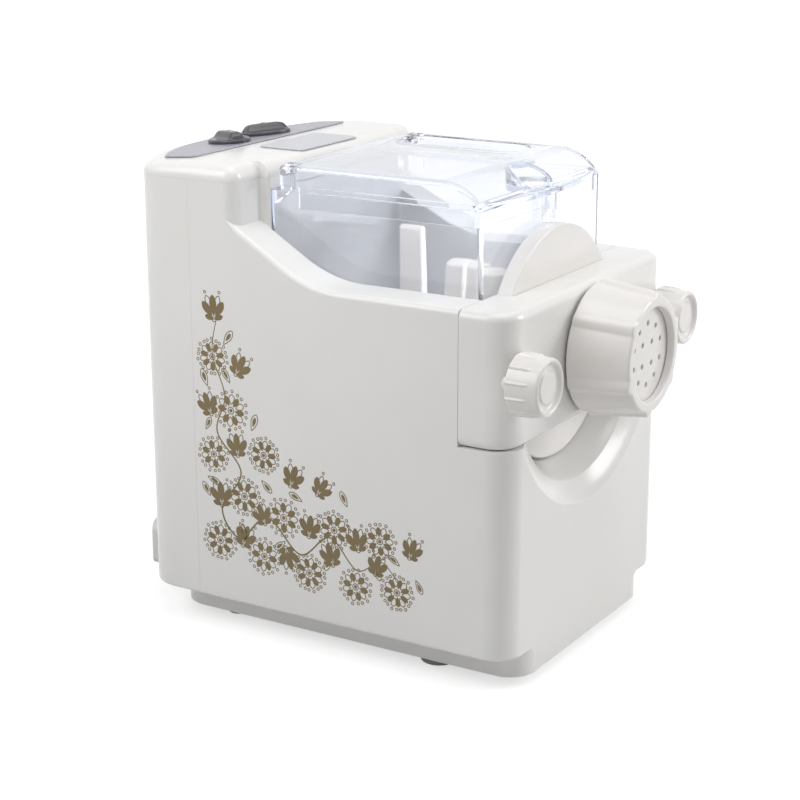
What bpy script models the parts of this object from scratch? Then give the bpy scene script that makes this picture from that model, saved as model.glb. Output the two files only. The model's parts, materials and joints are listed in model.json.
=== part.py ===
"""Electric pasta maker: a white housing with a clear mixing tub and lid, a clamped front head
with a barrel, die and ring nut, a mixing paddle with an auger, and the geared motor behind it.

The frame: X runs to the right seen from the front, Y runs to the rear and Z runs up. The sizes
below count Y from a plane through the mixing tub, and the last step moves everything so that the
origin is on the table under the middle of the machine's box.
"""

import math

import bmesh
import bpy
from mathutils import Euler, Matrix, Vector

mm = 0.001

# Driving sizes of the housing
side_ledge_width = 26 * mm
body_front_y = -112.5 * mm
body_rear_y = 158 * mm
base_z = 6 * mm
wall = 2.6 * mm
gap = 0.3 * mm
weld_distance = 0.01 * mm
overrun = 5 * mm

# Corners seen from above
front_corner_radius = 16 * mm
tower_corner_radius = 15 * mm
rear_corner_radius = 20 * mm
rear_bow_radius = 150 * mm
corner_steps = 5
bow_steps = 12

# Side outline of the housing
rear_seam_y = 92 * mm
head_seam_y = -81.6 * mm
head_drop = 37.4 * mm
ledge_rise = 37 * mm
slope_start_y = -8 * mm
slope_radius = 74 * mm
slope_angle = math.radians(31)
slope_steps = 6
slope_end_y = 76 * mm
tower_front_y = 50 * mm
top_seam_lift = 6.6 * mm
top_cover_height = 10.2 * mm
top_edge_radius = 9 * mm
top_edge_segments = 3
top_slope_start_y = 100 * mm
top_slope = math.radians(5)

# Step along the lower sides
step_inset = 18 * mm
step_z = 21.5 * mm
step_outer_radius = 6 * mm
step_edge_segments = 3
skirt_corner_radius = 16 * mm

# What lies round the extrusion axis
disc_radius = 66.5 * mm
disc_rear_y = -82 * mm
disc_front_y = -91.2 * mm
barrel_radius = 29 * mm
barrel_bore = 24.5 * mm
barrel_front_y = -140.9 * mm
seal_inner_radius = 60.8 * mm
seal_outer_radius = 64.2 * mm
seal_depth = 2.2 * mm
turned_steps = 40
hidden_steps = 24

# Dish in the lower front, round the head's disc
dish_mouth_radius = 87 * mm
dish_edge_radius = 76.5 * mm
dish_edge_depth = 7 * mm
dish_floor_radius = 68.5 * mm
dish_steps = 48

# Mixing tub and its bay
tub_half_width = 71 * mm
tub_wall = 2.6 * mm
tub_rim_rise = 83.8 * mm
tub_front_y = -80.6 * mm
tub_clearance = 0.4 * mm
tub_mouth_radius = 60 * mm
bay_steps = 20
shaft_hole_radius = 10.3 * mm

# Lid and its hinge
lid_height = 14.7 * mm
lid_wall = 2.6 * mm
lid_bow_start_y = -48 * mm
lid_bow_radius = 43.8 * mm
lid_bow_steps = 7
lid_rear_lift = 2.7 * mm
lid_lip_depth = 9.5 * mm
lid_lip_wall = 2 * mm
lid_lip_front_inset = 4.2 * mm
lid_lip_side_inset = 3.2 * mm
lid_lip_rear_y = 36 * mm
lid_tab_inset = 9 * mm
lid_tab_reach = 8 * mm
lid_tab_thickness = 3 * mm
lid_tab_steps = 10
latch_width = 11 * mm
latch_thickness = 5 * mm
latch_drop = 15.8 * mm
latch_rear_y = -81.4 * mm
hinge_radius = 4.4 * mm
hinge_side_gap = 0.4 * mm
hinge_steps = 6
ear_width = 5.2 * mm
ear_radius = 3.5 * mm
pin_radius = 1.8 * mm
ear_notch_length = 5 * mm
trough_length = 85 * mm
trough_width = 28 * mm
trough_depth = 8 * mm
trough_wall = 1.8 * mm
trough_corner = 12 * mm
trough_x = 46 * mm
trough_y = -2.5 * mm
drip_slot_length = 60 * mm
drip_slot_width = 7 * mm
drip_slot_corner = 3 * mm
scoop_radius = 14.5 * mm
scoop_y = -75 * mm
scoop_steps = 32

# Front head
head_edge_radius = 5 * mm
head_edge_segments = 3
head_barrel_gap = 1.6 * mm
clamp_inset = 9 * mm
clamp_boss_radius = 9 * mm
clamp_boss_face_y = -112.9 * mm
clamp_boss_length = 28 * mm
clamp_screw_radius = 3 * mm
clamp_screw_front_y = -120 * mm
clamp_screw_rear_y = -63 * mm
insert_radius = 4.6 * mm
insert_length = 20 * mm
insert_boss_wall = 1.8 * mm
insert_boss_length = 23 * mm
washer_radius = 8 * mm
washer_thickness = 1.2 * mm

# Clamp knobs
knob_rear_radius = 19.6 * mm
knob_front_radius = 17.2 * mm
knob_length = 17 * mm
knob_dish_depth = 2.4 * mm
knob_button_radius = 9 * mm
knob_button_rise = 1.4 * mm
knob_dish_radius = 12.4 * mm
knob_edge_radius = 1.2 * mm
knob_rib_count = 12
knob_steps = 30
knob_rib_width = 1.8 * mm
knob_rib_height = 1.1 * mm
knob_rib_length_share = 0.62

# Die and ring nut
die_radius = 28.9 * mm
die_thickness = 6.1 * mm
die_hole_radius = 1.4 * mm
die_outer_ring = 17.5 * mm
die_inner_ring = 8.5 * mm
die_outer_count = 10
die_inner_count = 4
die_hole_steps = 12
nut_rear_y = -114.2 * mm
nut_front_y = -150.1 * mm
nut_rear_radius = 36.5 * mm
nut_front_radius = 32.1 * mm
nut_lip_radius = 26 * mm
nut_lip_thickness = 2.5 * mm
nut_bore_gap = 0.4 * mm
nut_edge = 1.5 * mm
nut_rib_count = 6
nut_rib_width = 5 * mm
nut_rib_height = 2.4 * mm
nut_rib_length_share = 0.86

# Mixing paddle with its auger
hub_radius = 11 * mm
hub_front_y = -70 * mm
hub_rear_y = 44 * mm
arm_reach = 57 * mm
arm_thickness = 6 * mm
arm_width = 15 * mm
arm_edge = 1.5 * mm
short_arm_reach = 40 * mm
short_arm_width = 22 * mm
auger_core_radius = 8 * mm
auger_radius = 22.5 * mm
auger_front_y = -139 * mm
auger_pitch = 22 * mm
auger_turns = 3
auger_flight = 3.2 * mm
auger_steps = 20
arm_places = (
    (0.04, 90, arm_reach, arm_width),
    (-0.33, 90, short_arm_reach, short_arm_width),
    (-0.15, -30, arm_reach, arm_width),
    (0.22, 210, arm_reach, arm_width),
)
arm_place_length = 110 * mm

# Drive train
gear_module = 2 * mm
output_teeth = 48
lay_teeth = 36
pinion_teeth = 12
tooth_top_share = 0.85
tooth_root_share = 1.25
tooth_tip_width_share = 0.17
tooth_root_width_share = 0.62
output_gear_front_y = 66 * mm
output_gear_width = 10 * mm
lay_gear_front_y = 80 * mm
lay_gear_width = 8 * mm
pinion_extra_width = 1 * mm
shaft_radius = 6 * mm
shaft_front_y = 24 * mm
shaft_rear_y = 98 * mm
lay_shaft_radius = 4 * mm
rotor_shaft_radius = 3 * mm
running_gap = 0.15 * mm

# Gear frame
frame_half_width = 56 * mm
frame_rise = 58 * mm
frame_thickness = 3 * mm
frame_front_y = 58 * mm
frame_rear_y = 94 * mm
frame_flange_length = 22 * mm
frame_corner_radius = 18 * mm
bush_wall = 3 * mm
bush_overhang = 1 * mm
motor_shaft_hole_radius = 7 * mm

# Motor
motor_z = 70 * mm
motor_radius = 34 * mm
motor_wall = 2.4 * mm
motor_length = 44 * mm
stator_wall = 7 * mm
stator_length = 28 * mm
armature_radius = 22.5 * mm
armature_length = 26 * mm
end_cap_thickness = 3 * mm
fan_radius = 23 * mm
fan_thickness = 2 * mm
fan_blade_height = 3.4 * mm
fan_blade_thickness = 1.6 * mm
fan_blade_count = 7
vent_count = 6
vent_radius = 4 * mm

# Base, feet and fasteners
base_thickness = 2.9 * mm
base_vent_count = 7
base_vent_length = 44 * mm
base_vent_width = 3.2 * mm
base_vent_pitch = 9 * mm
base_vent_y = 104 * mm
front_foot_radius = 11 * mm
rear_foot_radius = 7 * mm
foot_inset = 33 * mm
front_foot_y = -52 * mm
rear_foot_y = 88 * mm
foot_edge = 1.5 * mm
screw_inset = 27 * mm
front_screw_y = -88 * mm
rear_screw_y = 70 * mm
screw_radius = 1.6 * mm
screw_head_radius = 3.4 * mm
screw_head_height = 2 * mm
screw_length = 12 * mm
screw_boss_radius = 6.6 * mm
screw_boss_length = 15 * mm
screw_steps = 12

# Circuit board in the belly
board_length = 96 * mm
board_width = 64 * mm
board_thickness = 1.6 * mm
board_z = 16 * mm
board_y = -36 * mm
post_radius = 3 * mm
post_inset = 6 * mm
capacitor_radius = 9 * mm
capacitor_height = 26 * mm
relay_size = 20 * mm
relay_height = 15 * mm
sink_height = 24 * mm
sink_thickness = 4 * mm

# Control panel, label and switches on the tower's top
panel_thickness = 0.9 * mm
panel_side_inset = 18 * mm
panel_chord_y = 101 * mm
panel_arc_inset = 12 * mm
panel_corner_radius = 4 * mm
panel_arc_steps = 16
label_length = 54 * mm
label_depth = 27 * mm
label_y = 73 * mm
label_thickness = 0.8 * mm
label_corner_radius = 2 * mm
switch_x = 18.5 * mm
switch_y = 120 * mm
switch_cap_length = 26 * mm
switch_cap_width = 19 * mm
switch_cap_height = 3 * mm
switch_cap_edge = 1.2 * mm
switch_ridge_length = 22 * mm
switch_ridge_width = 9 * mm
switch_ridge_height = 6.5 * mm
switch_ridge_edge = 2.4 * mm
switch_ridge_corner_share = 0.4
switch_oval_steps = 24
switch_neck_radius = 4.6 * mm
switch_spindle_radius = 2.5 * mm
switch_body_size = 27 * mm
switch_body_height = 22 * mm
switch_spindle_depth = 14 * mm
switch_cap_lift = 0.6 * mm

# Cord inlet at the rear
inlet_inset = 31 * mm
inlet_width = 20 * mm
inlet_height = 34 * mm
inlet_z = 36 * mm
inlet_reach = 6 * mm
inlet_hole_radius = 3.6 * mm

# Sizes worked out from those above
lay_z = motor_z + gear_module * (lay_teeth + pinion_teeth) / 2
axis_z = lay_z + gear_module * (output_teeth + pinion_teeth) / 2
frame_top_z = axis_z + frame_rise
head_bottom_z = axis_z - head_drop
ledge_z = axis_z + ledge_rise
tub_rim_z = axis_z + tub_rim_rise
lid_top_z = tub_rim_z + lid_height
lid_rear_wall_z = tub_rim_z + lid_rear_lift
latch_bottom_z = tub_rim_z - latch_drop
top_seam_z = tub_rim_z + top_seam_lift
body_top_z = top_seam_z + top_cover_height
half_width = tub_half_width + side_ledge_width
clamp_x = half_width - clamp_inset
foot_x = half_width - foot_inset
screw_x = half_width - screw_inset
panel_half_width = half_width - panel_side_inset
inlet_x = inlet_inset - half_width
lid_tab_half_width = tub_half_width - lid_tab_inset
tub_rear_y = tower_front_y - tub_clearance
bay_half_width = tub_half_width + tub_clearance
bow_center_y = body_rear_y - rear_bow_radius
skirt_half_width = half_width - step_inset
hinge_y = tower_front_y - hinge_side_gap - hinge_radius
hinge_z = lid_top_z - hinge_radius
motor_front_y = frame_rear_y + frame_thickness + gap
base_top_z = base_z + base_thickness
die_front_y = nut_front_y + nut_lip_thickness + gap
panel_point = Vector((0, top_slope_start_y, body_top_z))
switch_drop_y = switch_y - top_slope_start_y

WHITE = (0.80, 0.80, 0.78, 1)
WARM_WHITE = (0.78, 0.76, 0.73, 1)
CLEAR = (0.83, 0.85, 0.90, 1)
SILVER_GREY = (0.56, 0.57, 0.60, 1)
LABEL_GREY = (0.70, 0.72, 0.76, 1)
DARK_GREY = (0.16, 0.155, 0.18, 1)
RUBBER = (0.05, 0.05, 0.05, 1)
STEEL = (0.55, 0.55, 0.56, 1)
BRASS = (0.70, 0.52, 0.25, 1)
NYLON = (0.74, 0.73, 0.68, 1)
BOARD_GREEN = (0.05, 0.22, 0.10, 1)
COPPER = (0.60, 0.28, 0.12, 1)


def clear_scene():
    """Remove every object, so that the model starts from nothing."""
    for old in list(bpy.data.objects):
        bpy.data.objects.remove(old, do_unlink=True)


def new_collection(name):
    """A collection linked to the scene."""
    group = bpy.data.collections.new(name)
    bpy.context.scene.collection.children.link(group)
    return group


def new_material(name, colour, roughness, metallic=0.0):
    """A plain surface with one colour."""
    material = bpy.data.materials.new(name)
    material.use_nodes = True
    shader = material.node_tree.nodes["Principled BSDF"]
    shader.inputs["Base Color"].default_value = colour
    shader.inputs["Roughness"].default_value = roughness
    shader.inputs["Metallic"].default_value = metallic
    material.diffuse_color = colour
    return material


clear_scene()
parts = new_collection("pasta_maker")
cutters = new_collection("cutters")


def place(part, group):
    """Keep an object in one collection only."""
    for old in list(part.users_collection):
        old.objects.unlink(part)
    group.objects.link(part)
    return part


def finish(part, colour, roughness, metallic=0.0):
    """Make an object a sub-part: its own material, and smooth round faces."""
    place(part, parts)
    part.data.materials.clear()
    part.data.materials.append(new_material(part.name + "_surface", colour, roughness, metallic))
    part.data.shade_smooth()
    part.data.set_sharp_from_angle(angle=math.radians(30))
    return part


def hide_cutter(tool):
    """Make an object a cutter, which is drawn as wires and isn't part of the model."""
    place(tool, cutters)
    tool.hide_render = True
    tool.display_type = "WIRE"
    return tool


def combine(part, tool, operation):
    """Add a Boolean of a cutter to an object."""
    step = part.modifiers.new(operation.lower(), "BOOLEAN")
    step.operation = operation
    step.object = hide_cutter(tool)
    step.solver = "EXACT"
    return part


def cut(part, *tools):
    """Take cutters away from an object."""
    for tool in tools:
        combine(part, tool, "DIFFERENCE")
    return part


def join(part, *tools):
    """Fuse other shapes to an object."""
    for tool in tools:
        combine(part, tool, "UNION")
    return part


def keep_inside(part, tool):
    """Keep only what lies inside a cutter."""
    return combine(part, tool, "INTERSECT")


def bevel(part, width, segments, weighted=False):
    """Round the edges of an object, all sharp ones or only those with a weight."""
    step = part.modifiers.new("bevel", "BEVEL")
    step.width = width
    step.segments = segments
    step.limit_method = "WEIGHT" if weighted else "ANGLE"
    step.angle_limit = math.radians(50)
    return part


def spread(start, end, steps):
    """Evenly spaced values from start to end."""
    return [start + (end - start) * i / steps for i in range(steps + 1)]


def arc(center, radius, start, end, steps):
    """Points on a circle about center, from angle start to angle end."""
    return [(center[0] + radius * math.cos(a), center[1] + radius * math.sin(a))
            for a in spread(start, end, steps)]


def rounded_rectangle(low, high, radius, steps=4):
    """Outline of a rectangle with round corners."""
    points = []
    for x, y, start in ((high[0] - radius, low[1] + radius, -90), (high[0] - radius, high[1] - radius, 0),
                        (low[0] + radius, high[1] - radius, 90), (low[0] + radius, low[1] + radius, 180)):
        points += arc((x, y), radius, math.radians(start), math.radians(start + 90), steps)
    return points


def bowed_plan(half, front_y, corner, rear_corner, bow):
    """Outline from above: round corners, straight sides and a rear bowed about one center."""
    corner_x = half - rear_corner
    corner_y = bow_center_y + math.sqrt((bow - rear_corner) ** 2 - corner_x ** 2)
    meet = math.atan2(corner_y - bow_center_y, corner_x)
    points = arc((half - corner, front_y + corner), corner, -math.pi / 2, 0, corner_steps)
    points += arc((corner_x, corner_y), rear_corner, 0, meet, corner_steps)
    points += arc((0, bow_center_y), bow, meet, math.pi - meet, bow_steps)[1:-1]
    points += arc((-corner_x, corner_y), rear_corner, math.pi - meet, math.pi, corner_steps)
    points += arc((corner - half, front_y + corner), corner, math.pi, math.pi * 3 / 2, corner_steps)
    return points


def body_plan(front_y, corner_radius, inset):
    """Outline of the housing or the tower from above."""
    return bowed_plan(half_width - inset, front_y + inset, corner_radius - inset,
                      rear_corner_radius - inset,
                      rear_bow_radius - inset)


def skirt_plan(inset):
    """Outline of the skirt under the step, flush with the housing in front only."""
    return bowed_plan(skirt_half_width - inset, body_front_y + inset, skirt_corner_radius - inset,
                      rear_corner_radius - inset, rear_bow_radius - step_inset - inset)


def slope_line(inset):
    """The ledge's rise to the tower in the side view: a hollow arc, then a straight ramp."""
    center = (slope_start_y, ledge_z + slope_radius)
    points = arc(center, slope_radius + inset, -math.pi / 2, slope_angle - math.pi / 2, slope_steps)
    last_y, last_z = points[-1]
    points.append((slope_end_y, last_z + (slope_end_y - last_y) * math.tan(slope_angle)))
    return points


def tub_section(half, top_z):
    """Cross-section of the tub: straight sides above a half round about the extrusion axis."""
    round_part = arc((0, axis_z), half, -math.pi, 0, bay_steps)
    return round_part + [(half, top_z), (-half, top_z)]


def lid_profile(inset):
    """Side outline of the lid down to its rim: round at the hinge, flat, then bowed to the front."""
    radius = lid_bow_radius - inset
    bow_center = (lid_bow_start_y, lid_top_z - lid_bow_radius)
    rim = tub_rim_z + gap
    end = math.pi - math.asin((rim - bow_center[1]) / radius)
    points = arc(bow_center, radius, math.pi / 2, end, lid_bow_steps)
    hinge_arc = arc((hinge_y, hinge_z), hinge_radius - inset, 0, math.pi / 2, hinge_steps)
    return [(hinge_y + hinge_radius - inset, rim)] + hinge_arc + points


def crescent(inset_chord, half, radius, center_y, corner_radius):
    """Crescent outline with blunt ends: a chord in front and an arc behind."""
    end_y = center_y + math.sqrt(radius ** 2 - half ** 2)
    end_angle = math.atan2(end_y - center_y, half)
    points = [(-half, inset_chord + corner_radius), (corner_radius - half, inset_chord)]
    points += [(half - corner_radius, inset_chord), (half, inset_chord + corner_radius)]
    return points + arc((0, center_y), radius, end_angle, math.pi - end_angle, panel_arc_steps)


def gear_outline(teeth, first_angle):
    """Outline of a spur gear with straight-sided teeth; a tooth stands at first_angle."""
    pitch_radius = gear_module * teeth / 2
    top = pitch_radius + gear_module * tooth_top_share
    root = pitch_radius - gear_module * tooth_root_share
    turn = 2 * math.pi / teeth
    points = []
    for i in range(teeth):
        middle = first_angle + i * turn
        for radius, offset in ((root, -tooth_root_width_share / 2), (top, -tooth_tip_width_share / 2),
                               (top, tooth_tip_width_share / 2), (root, tooth_root_width_share / 2)):
            angle = middle + offset * turn
            points.append((radius * math.cos(angle), radius * math.sin(angle)))
    return points


directions = {
    "X": Matrix(((0, 0, 1, 0), (1, 0, 0, 0), (0, 1, 0, 0), (0, 0, 0, 1))),
    "Y": Matrix(((1, 0, 0, 0), (0, 0, -1, 0), (0, 1, 0, 0), (0, 0, 0, 1))),
    "Z": Matrix.Identity(4),
}


def slab(name, outline, low, high, along, center=(0, 0, 0)):
    """A flat outline with thickness, from low to high along X, Y or Z.

    The outline's two coordinates are Y and Z for X, X and Z for Y, and X and Y for Z, counted
    from center.
    """
    curve = bpy.data.curves.new(name + "_outline", "CURVE")
    curve.dimensions = "2D"
    curve.fill_mode = "BOTH"
    curve.extrude = (high - low) / 2
    spline = curve.splines.new("POLY")
    spline.points.add(len(outline) - 1)
    for point, (u, v) in zip(spline.points, outline):
        point.co = (u, v, 0, 1)
    spline.use_cyclic_u = True
    guide = bpy.data.objects.new(name + "_guide", curve)
    bpy.context.scene.collection.objects.link(guide)
    graph = bpy.context.evaluated_depsgraph_get()
    mesh = bpy.data.meshes.new_from_object(guide.evaluated_get(graph))
    bpy.data.objects.remove(guide, do_unlink=True)
    weld(mesh)
    part = bpy.data.objects.new(name, mesh)
    shift = Vector(center)
    shift["XYZ".index(along)] += (low + high) / 2
    part.matrix_world = Matrix.Translation(shift) @ directions[along]
    return place(part, cutters)


def weld(mesh):
    """Join the loose caps of a converted curve to its sides, each cap as one face."""
    work = bmesh.new()
    work.from_mesh(mesh)
    bmesh.ops.remove_doubles(work, verts=work.verts, dist=weld_distance)
    bmesh.ops.recalc_face_normals(work, faces=work.faces)
    bmesh.ops.dissolve_limit(work, angle_limit=math.radians(0.1), verts=work.verts, edges=work.edges)
    work.to_mesh(mesh)
    work.free()


def box(name, low, high):
    """A block between two corners."""
    mesh = bpy.data.meshes.new(name)
    work = bmesh.new()
    size = Vector(high) - Vector(low)
    bmesh.ops.create_cube(work, size=1, matrix=Matrix.Diagonal((*size, 1)))
    work.to_mesh(mesh)
    work.free()
    part = bpy.data.objects.new(name, mesh)
    part.location = (Vector(low) + Vector(high)) / 2
    return place(part, cutters)


def turned(name, profile, place_at, toward, steps=turned_steps):
    """A turned shape; the profile is (radius, height) pairs down its outer side.

    Heights are counted from place_at along the direction toward: "front" for -Y or "up" for +Z.
    A profile that doesn't start and end on the axis closes on itself.
    """
    mesh = bpy.data.meshes.new(name)
    edges = [(i, i + 1) for i in range(len(profile) - 1)]
    if profile[0][0] > 0:
        edges.append((len(profile) - 1, 0))
    mesh.from_pydata([(radius, 0, height) for radius, height in profile], edges, [])
    part = bpy.data.objects.new(name, mesh)
    part.location = place_at
    part.rotation_euler = (math.pi / 2, 0, 0) if toward == "front" else (0, 0, 0)
    screw = part.modifiers.new("turn", "SCREW")
    screw.steps = steps
    screw.render_steps = steps
    screw.use_merge_vertices = True
    screw.merge_threshold = weld_distance
    return place(part, cutters)


def ring_profile(outer_radius, inner_radius, top, bottom):
    """Profile of a plain ring."""
    return [(outer_radius, top), (outer_radius, bottom), (inner_radius, bottom), (inner_radius, top)]


def rod(name, radius, low, high, along, center, steps=turned_steps):
    """A cylinder from low to high along X, Y or Z, through a point."""
    mesh = bpy.data.meshes.new(name)
    work = bmesh.new()
    bmesh.ops.create_cone(work, cap_ends=True, segments=steps, radius1=radius, radius2=radius,
                          depth=high - low)
    work.to_mesh(mesh)
    work.free()
    part = bpy.data.objects.new(name, mesh)
    axis = "XYZ".index(along)
    shift = Vector(center)
    shift[axis] = (low + high) / 2
    turn = ((0, math.pi / 2, 0), (math.pi / 2, 0, 0), (0, 0, 0))[axis]
    part.location = shift
    part.rotation_euler = turn
    part.matrix_world = Matrix.LocRotScale(shift, Euler(turn), None)
    return place(part, cutters)


def rod_y(name, radius, front_y, rear_y, x, z, steps=turned_steps):
    """A cylinder along Y."""
    return rod(name, radius, front_y, rear_y, "Y", (x, 0, z), steps)


def ring_y(name, outer, inner, front_y, rear_y, x, z, steps=turned_steps):
    """A ring whose hole runs along Y."""
    return turned(name, ring_profile(outer, inner, -front_y, -rear_y), (x, 0, z), "front", steps)


def rod_z(name, radius, low, high, x, y, steps=turned_steps):
    """A cylinder along Z."""
    return rod(name, radius, low, high, "Z", (x, y, 0), steps)


def dish_profile(outset):
    """Profile of the dish in the lower front, or of its back wall when outset is positive."""
    face = -body_front_y
    edge = face - dish_edge_depth
    step = -disc_front_y
    floor = -tub_front_y
    slope = (dish_mouth_radius - dish_edge_radius) / dish_edge_depth
    mouth = dish_mouth_radius + outset + overrun * slope
    return [(0, face + overrun), (mouth, face + overrun), (dish_edge_radius + outset, edge),
            (dish_floor_radius + outset, step), (dish_floor_radius + outset, floor - outset),
            (0, floor - outset)]


def stepped_prism(name, front_y, corner_radius):
    """An upright prism whose lower edge is rounded, standing on the inset skirt."""
    part = slab(name, body_plan(front_y, corner_radius, 0), step_z, top_seam_z - gap, "Z")
    weigh_edges(part, step_z)
    bevel(part, step_outer_radius, step_edge_segments, weighted=True)
    skirt = slab("skirt", skirt_plan(0), base_z, step_z + step_outer_radius + wall, "Z")
    if front_y > body_front_y:
        cut(skirt, wide_cutter("skirt_front_cut", body_front_y - overrun, front_y + corner_radius, 0,
                               body_top_z))
    return join(part, skirt)


def wide_cutter(name, low_y, high_y, low_z, high_z):
    """A block as wide as the housing and a little more."""
    reach = half_width + overrun
    return box(name, (-reach, low_y, low_z), (reach, high_y, high_z))


def skirt_hollow():
    """The hollow between the skirts, under the step."""
    return slab("skirt_hollow", skirt_plan(wall), base_z - overrun, step_z + wall + overrun, "Z")


def machine_room(top_z):
    """The hollow of the tower, behind the tub bay."""
    plan = body_plan(tower_front_y, tower_corner_radius, wall)
    return slab("machine_room", plan, step_z + wall, top_z, "Z")


def side_pocket(side):
    """The hollow between the tub bay and one side wall, under the ledge."""
    low = base_top_z + screw_boss_length
    line = slope_line(wall)
    end_y = tower_front_y + wall + overrun
    run = (end_y - line[-2][0]) * math.tan(slope_angle)
    top = line[:-1] + [(end_y, line[-2][1] + run)]
    outline = [(head_seam_y + wall, low), (head_seam_y + wall, ledge_z - wall)] + top + [(end_y, low)]
    sides = sorted((side * (bay_half_width + wall), side * (half_width - wall)))
    return slab("side_pocket", outline, sides[0], sides[1], "X")


def belly():
    """The hollow under the tub bay and behind the dish."""
    plan = body_plan(body_front_y, front_corner_radius, wall)
    hollow = slab("belly", plan, step_z + wall, head_bottom_z - wall, "Z")
    bay_back = slab("bay_back", tub_section(bay_half_width + wall, body_top_z),
                    head_seam_y - overrun, tower_front_y + wall, "Y")
    dish_back = turned("dish_back", dish_profile(wall), (0, 0, axis_z), "front", dish_steps)
    bay_wall = box("bay_rear_wall", (-bay_half_width - wall, tower_front_y, axis_z - bay_half_width - wall),
                   (bay_half_width + wall, tower_front_y + wall, head_bottom_z))
    return cut(hollow, bay_back, dish_back, bay_wall)


def screw_bosses(low_y, high_y):
    """Bosses for the base screws whose places lie between two Y values."""
    tools = []
    for x, y in screw_places():
        if low_y < y < high_y:
            top = base_top_z + gap + screw_boss_length
            tools.append(rod_z("screw_boss", screw_boss_radius, base_top_z + gap, top, x, y, screw_steps))
    return tools


def screw_places():
    """Places of the four base screws."""
    return [(side * screw_x, y) for y in (front_screw_y, rear_screw_y) for side in (-1, 1)]


def screw_holes():
    """Cutters for the shanks of the base screws."""
    return [rod_z("screw_hole", screw_radius + gap, base_z - overrun, base_z + screw_length + overrun, x, y,
                  screw_steps) for x, y in screw_places()]


def main_housing():
    """Front and sides of the housing, with the ledge, the tub bay, the dish and the tower's front."""
    part = stepped_prism("main_housing", body_front_y, front_corner_radius)
    rise = slope_line(0)
    side = [(body_front_y - overrun, base_z - overrun), (rear_seam_y + overrun, base_z - overrun)]
    side += [(rear_seam_y + overrun, rise[-1][1])] + rise[::-1]
    side += [(head_seam_y, ledge_z), (head_seam_y, head_bottom_z - gap), (body_front_y - overrun,
                                                                          head_bottom_z - gap)]
    keep_inside(part, slab("side_outline", side, -half_width - overrun, half_width + overrun, "X"))
    tower_plan = body_plan(tower_front_y, tower_corner_radius, 0)
    join(part, slab("tower_block", tower_plan, head_bottom_z, top_seam_z - gap, "Z"))
    cut(part, wide_cutter("rear_seam", rear_seam_y - gap / 2, body_rear_y + overrun, 0, body_top_z))
    cut(part, machine_room(body_top_z), belly(), side_pocket(1), side_pocket(-1), skirt_hollow())
    cut(part, slab("tub_bay", tub_section(bay_half_width, body_top_z), head_seam_y, tower_front_y, "Y"))
    cut(part, turned("dish", dish_profile(0), (0, 0, axis_z), "front", dish_steps))
    cut(part, rod_y("shaft_hole", shaft_hole_radius, tower_front_y - overrun,
                    tower_front_y + wall + overrun, 0, axis_z))
    for side_sign in (-1, 1):
        boss = rod_y("insert_boss", insert_radius + gap + insert_boss_wall, head_seam_y,
                     head_seam_y + insert_boss_length, side_sign * clamp_x, axis_z, screw_steps)
        keep_inside(boss, box("insert_boss_limit", (-half_width + wall / 2, head_seam_y, 0),
                              (half_width - wall / 2, 0, body_top_z)))
        join(part, boss)
        cut(part, rod_y("insert_bore", insert_radius + gap, head_seam_y - overrun,
                        head_seam_y + insert_length + gap * 2, side_sign * clamp_x, axis_z, screw_steps))
    join(part, *screw_bosses(body_front_y, rear_seam_y))
    cut(part, *screw_holes())
    return finish(part, WHITE, 0.25)


def rear_housing():
    """The bowed rear shell behind the seam."""
    part = stepped_prism("rear_housing", tower_front_y, tower_corner_radius)
    cut(part, wide_cutter("front_seam", body_front_y, rear_seam_y + gap / 2, 0, body_top_z))
    cut(part, machine_room(body_top_z), skirt_hollow())
    hole = rod_y("inlet_hole", inlet_hole_radius, body_front_y, body_rear_y + overrun, inlet_x, inlet_z,
                 screw_steps)
    cut(part, hole)
    return finish(part, WHITE, 0.25)


def top_cover():
    """The tower's cap: round upper edges, level in front and falling a little to the rear."""
    plan = body_plan(tower_front_y, tower_corner_radius, 0)
    part = slab("top_cover", plan, top_seam_z, body_top_z, "Z")
    weigh_edges(part, body_top_z)
    bevel(part, top_edge_radius, top_edge_segments, weighted=True)
    fall = wide_cutter("rear_fall", 0, body_rear_y, 0, body_top_z)
    fall.matrix_world = Matrix.Translation(panel_point) @ Matrix.Rotation(-top_slope, 4,
                                                                          "X") @ Matrix.Translation(
        (0, body_rear_y / 2, body_top_z / 2))
    cut(part, fall)
    inner = slab("cap_hollow", body_plan(tower_front_y, tower_corner_radius, wall * 2),
                 top_seam_z - overrun, body_top_z - wall, "Z")
    inner_fall = wide_cutter("inner_fall", 0, body_rear_y, 0, body_top_z)
    inner_fall.matrix_world = Matrix.Translation((0, 0, -wall)) @ fall.matrix_world
    cut(inner, inner_fall)
    cut(part, inner)
    for x in (-switch_x, switch_x):
        cut(part, tilted_rod("neck_hole", switch_neck_radius + gap, -overrun * 2, overrun * 2, x))
    return finish(part, WHITE, 0.22)


def weigh_edges(part, *heights):
    """Mark the edges of an upright slab that lie at some heights, for rounding."""
    mesh = part.data
    weights = mesh.attributes.new("bevel_weight_edge", "FLOAT", "EDGE")
    for height in heights:
        local = height - part.location.z
        for edge in mesh.edges:
            if all(abs(mesh.vertices[i].co.z - local) < gap for i in edge.vertices):
                weights.data[edge.index].value = 1.0


def panel_frame(x, along_slope, rise):
    """Matrix of a place on the falling part of the tower's top, its Z square to the surface."""
    tilt = Matrix.Rotation(-top_slope, 4, "X")
    return Matrix.Translation(panel_point) @ tilt @ Matrix.Translation((x, along_slope, rise))


def tilted_rod(name, radius, low, high, x, steps=screw_steps):
    """A cylinder square to the falling top, at one of the switches."""
    tool = upright_rod(name, radius, low, high, steps)
    tool.matrix_world = panel_frame(x, switch_drop_y, 0)
    return tool


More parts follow.
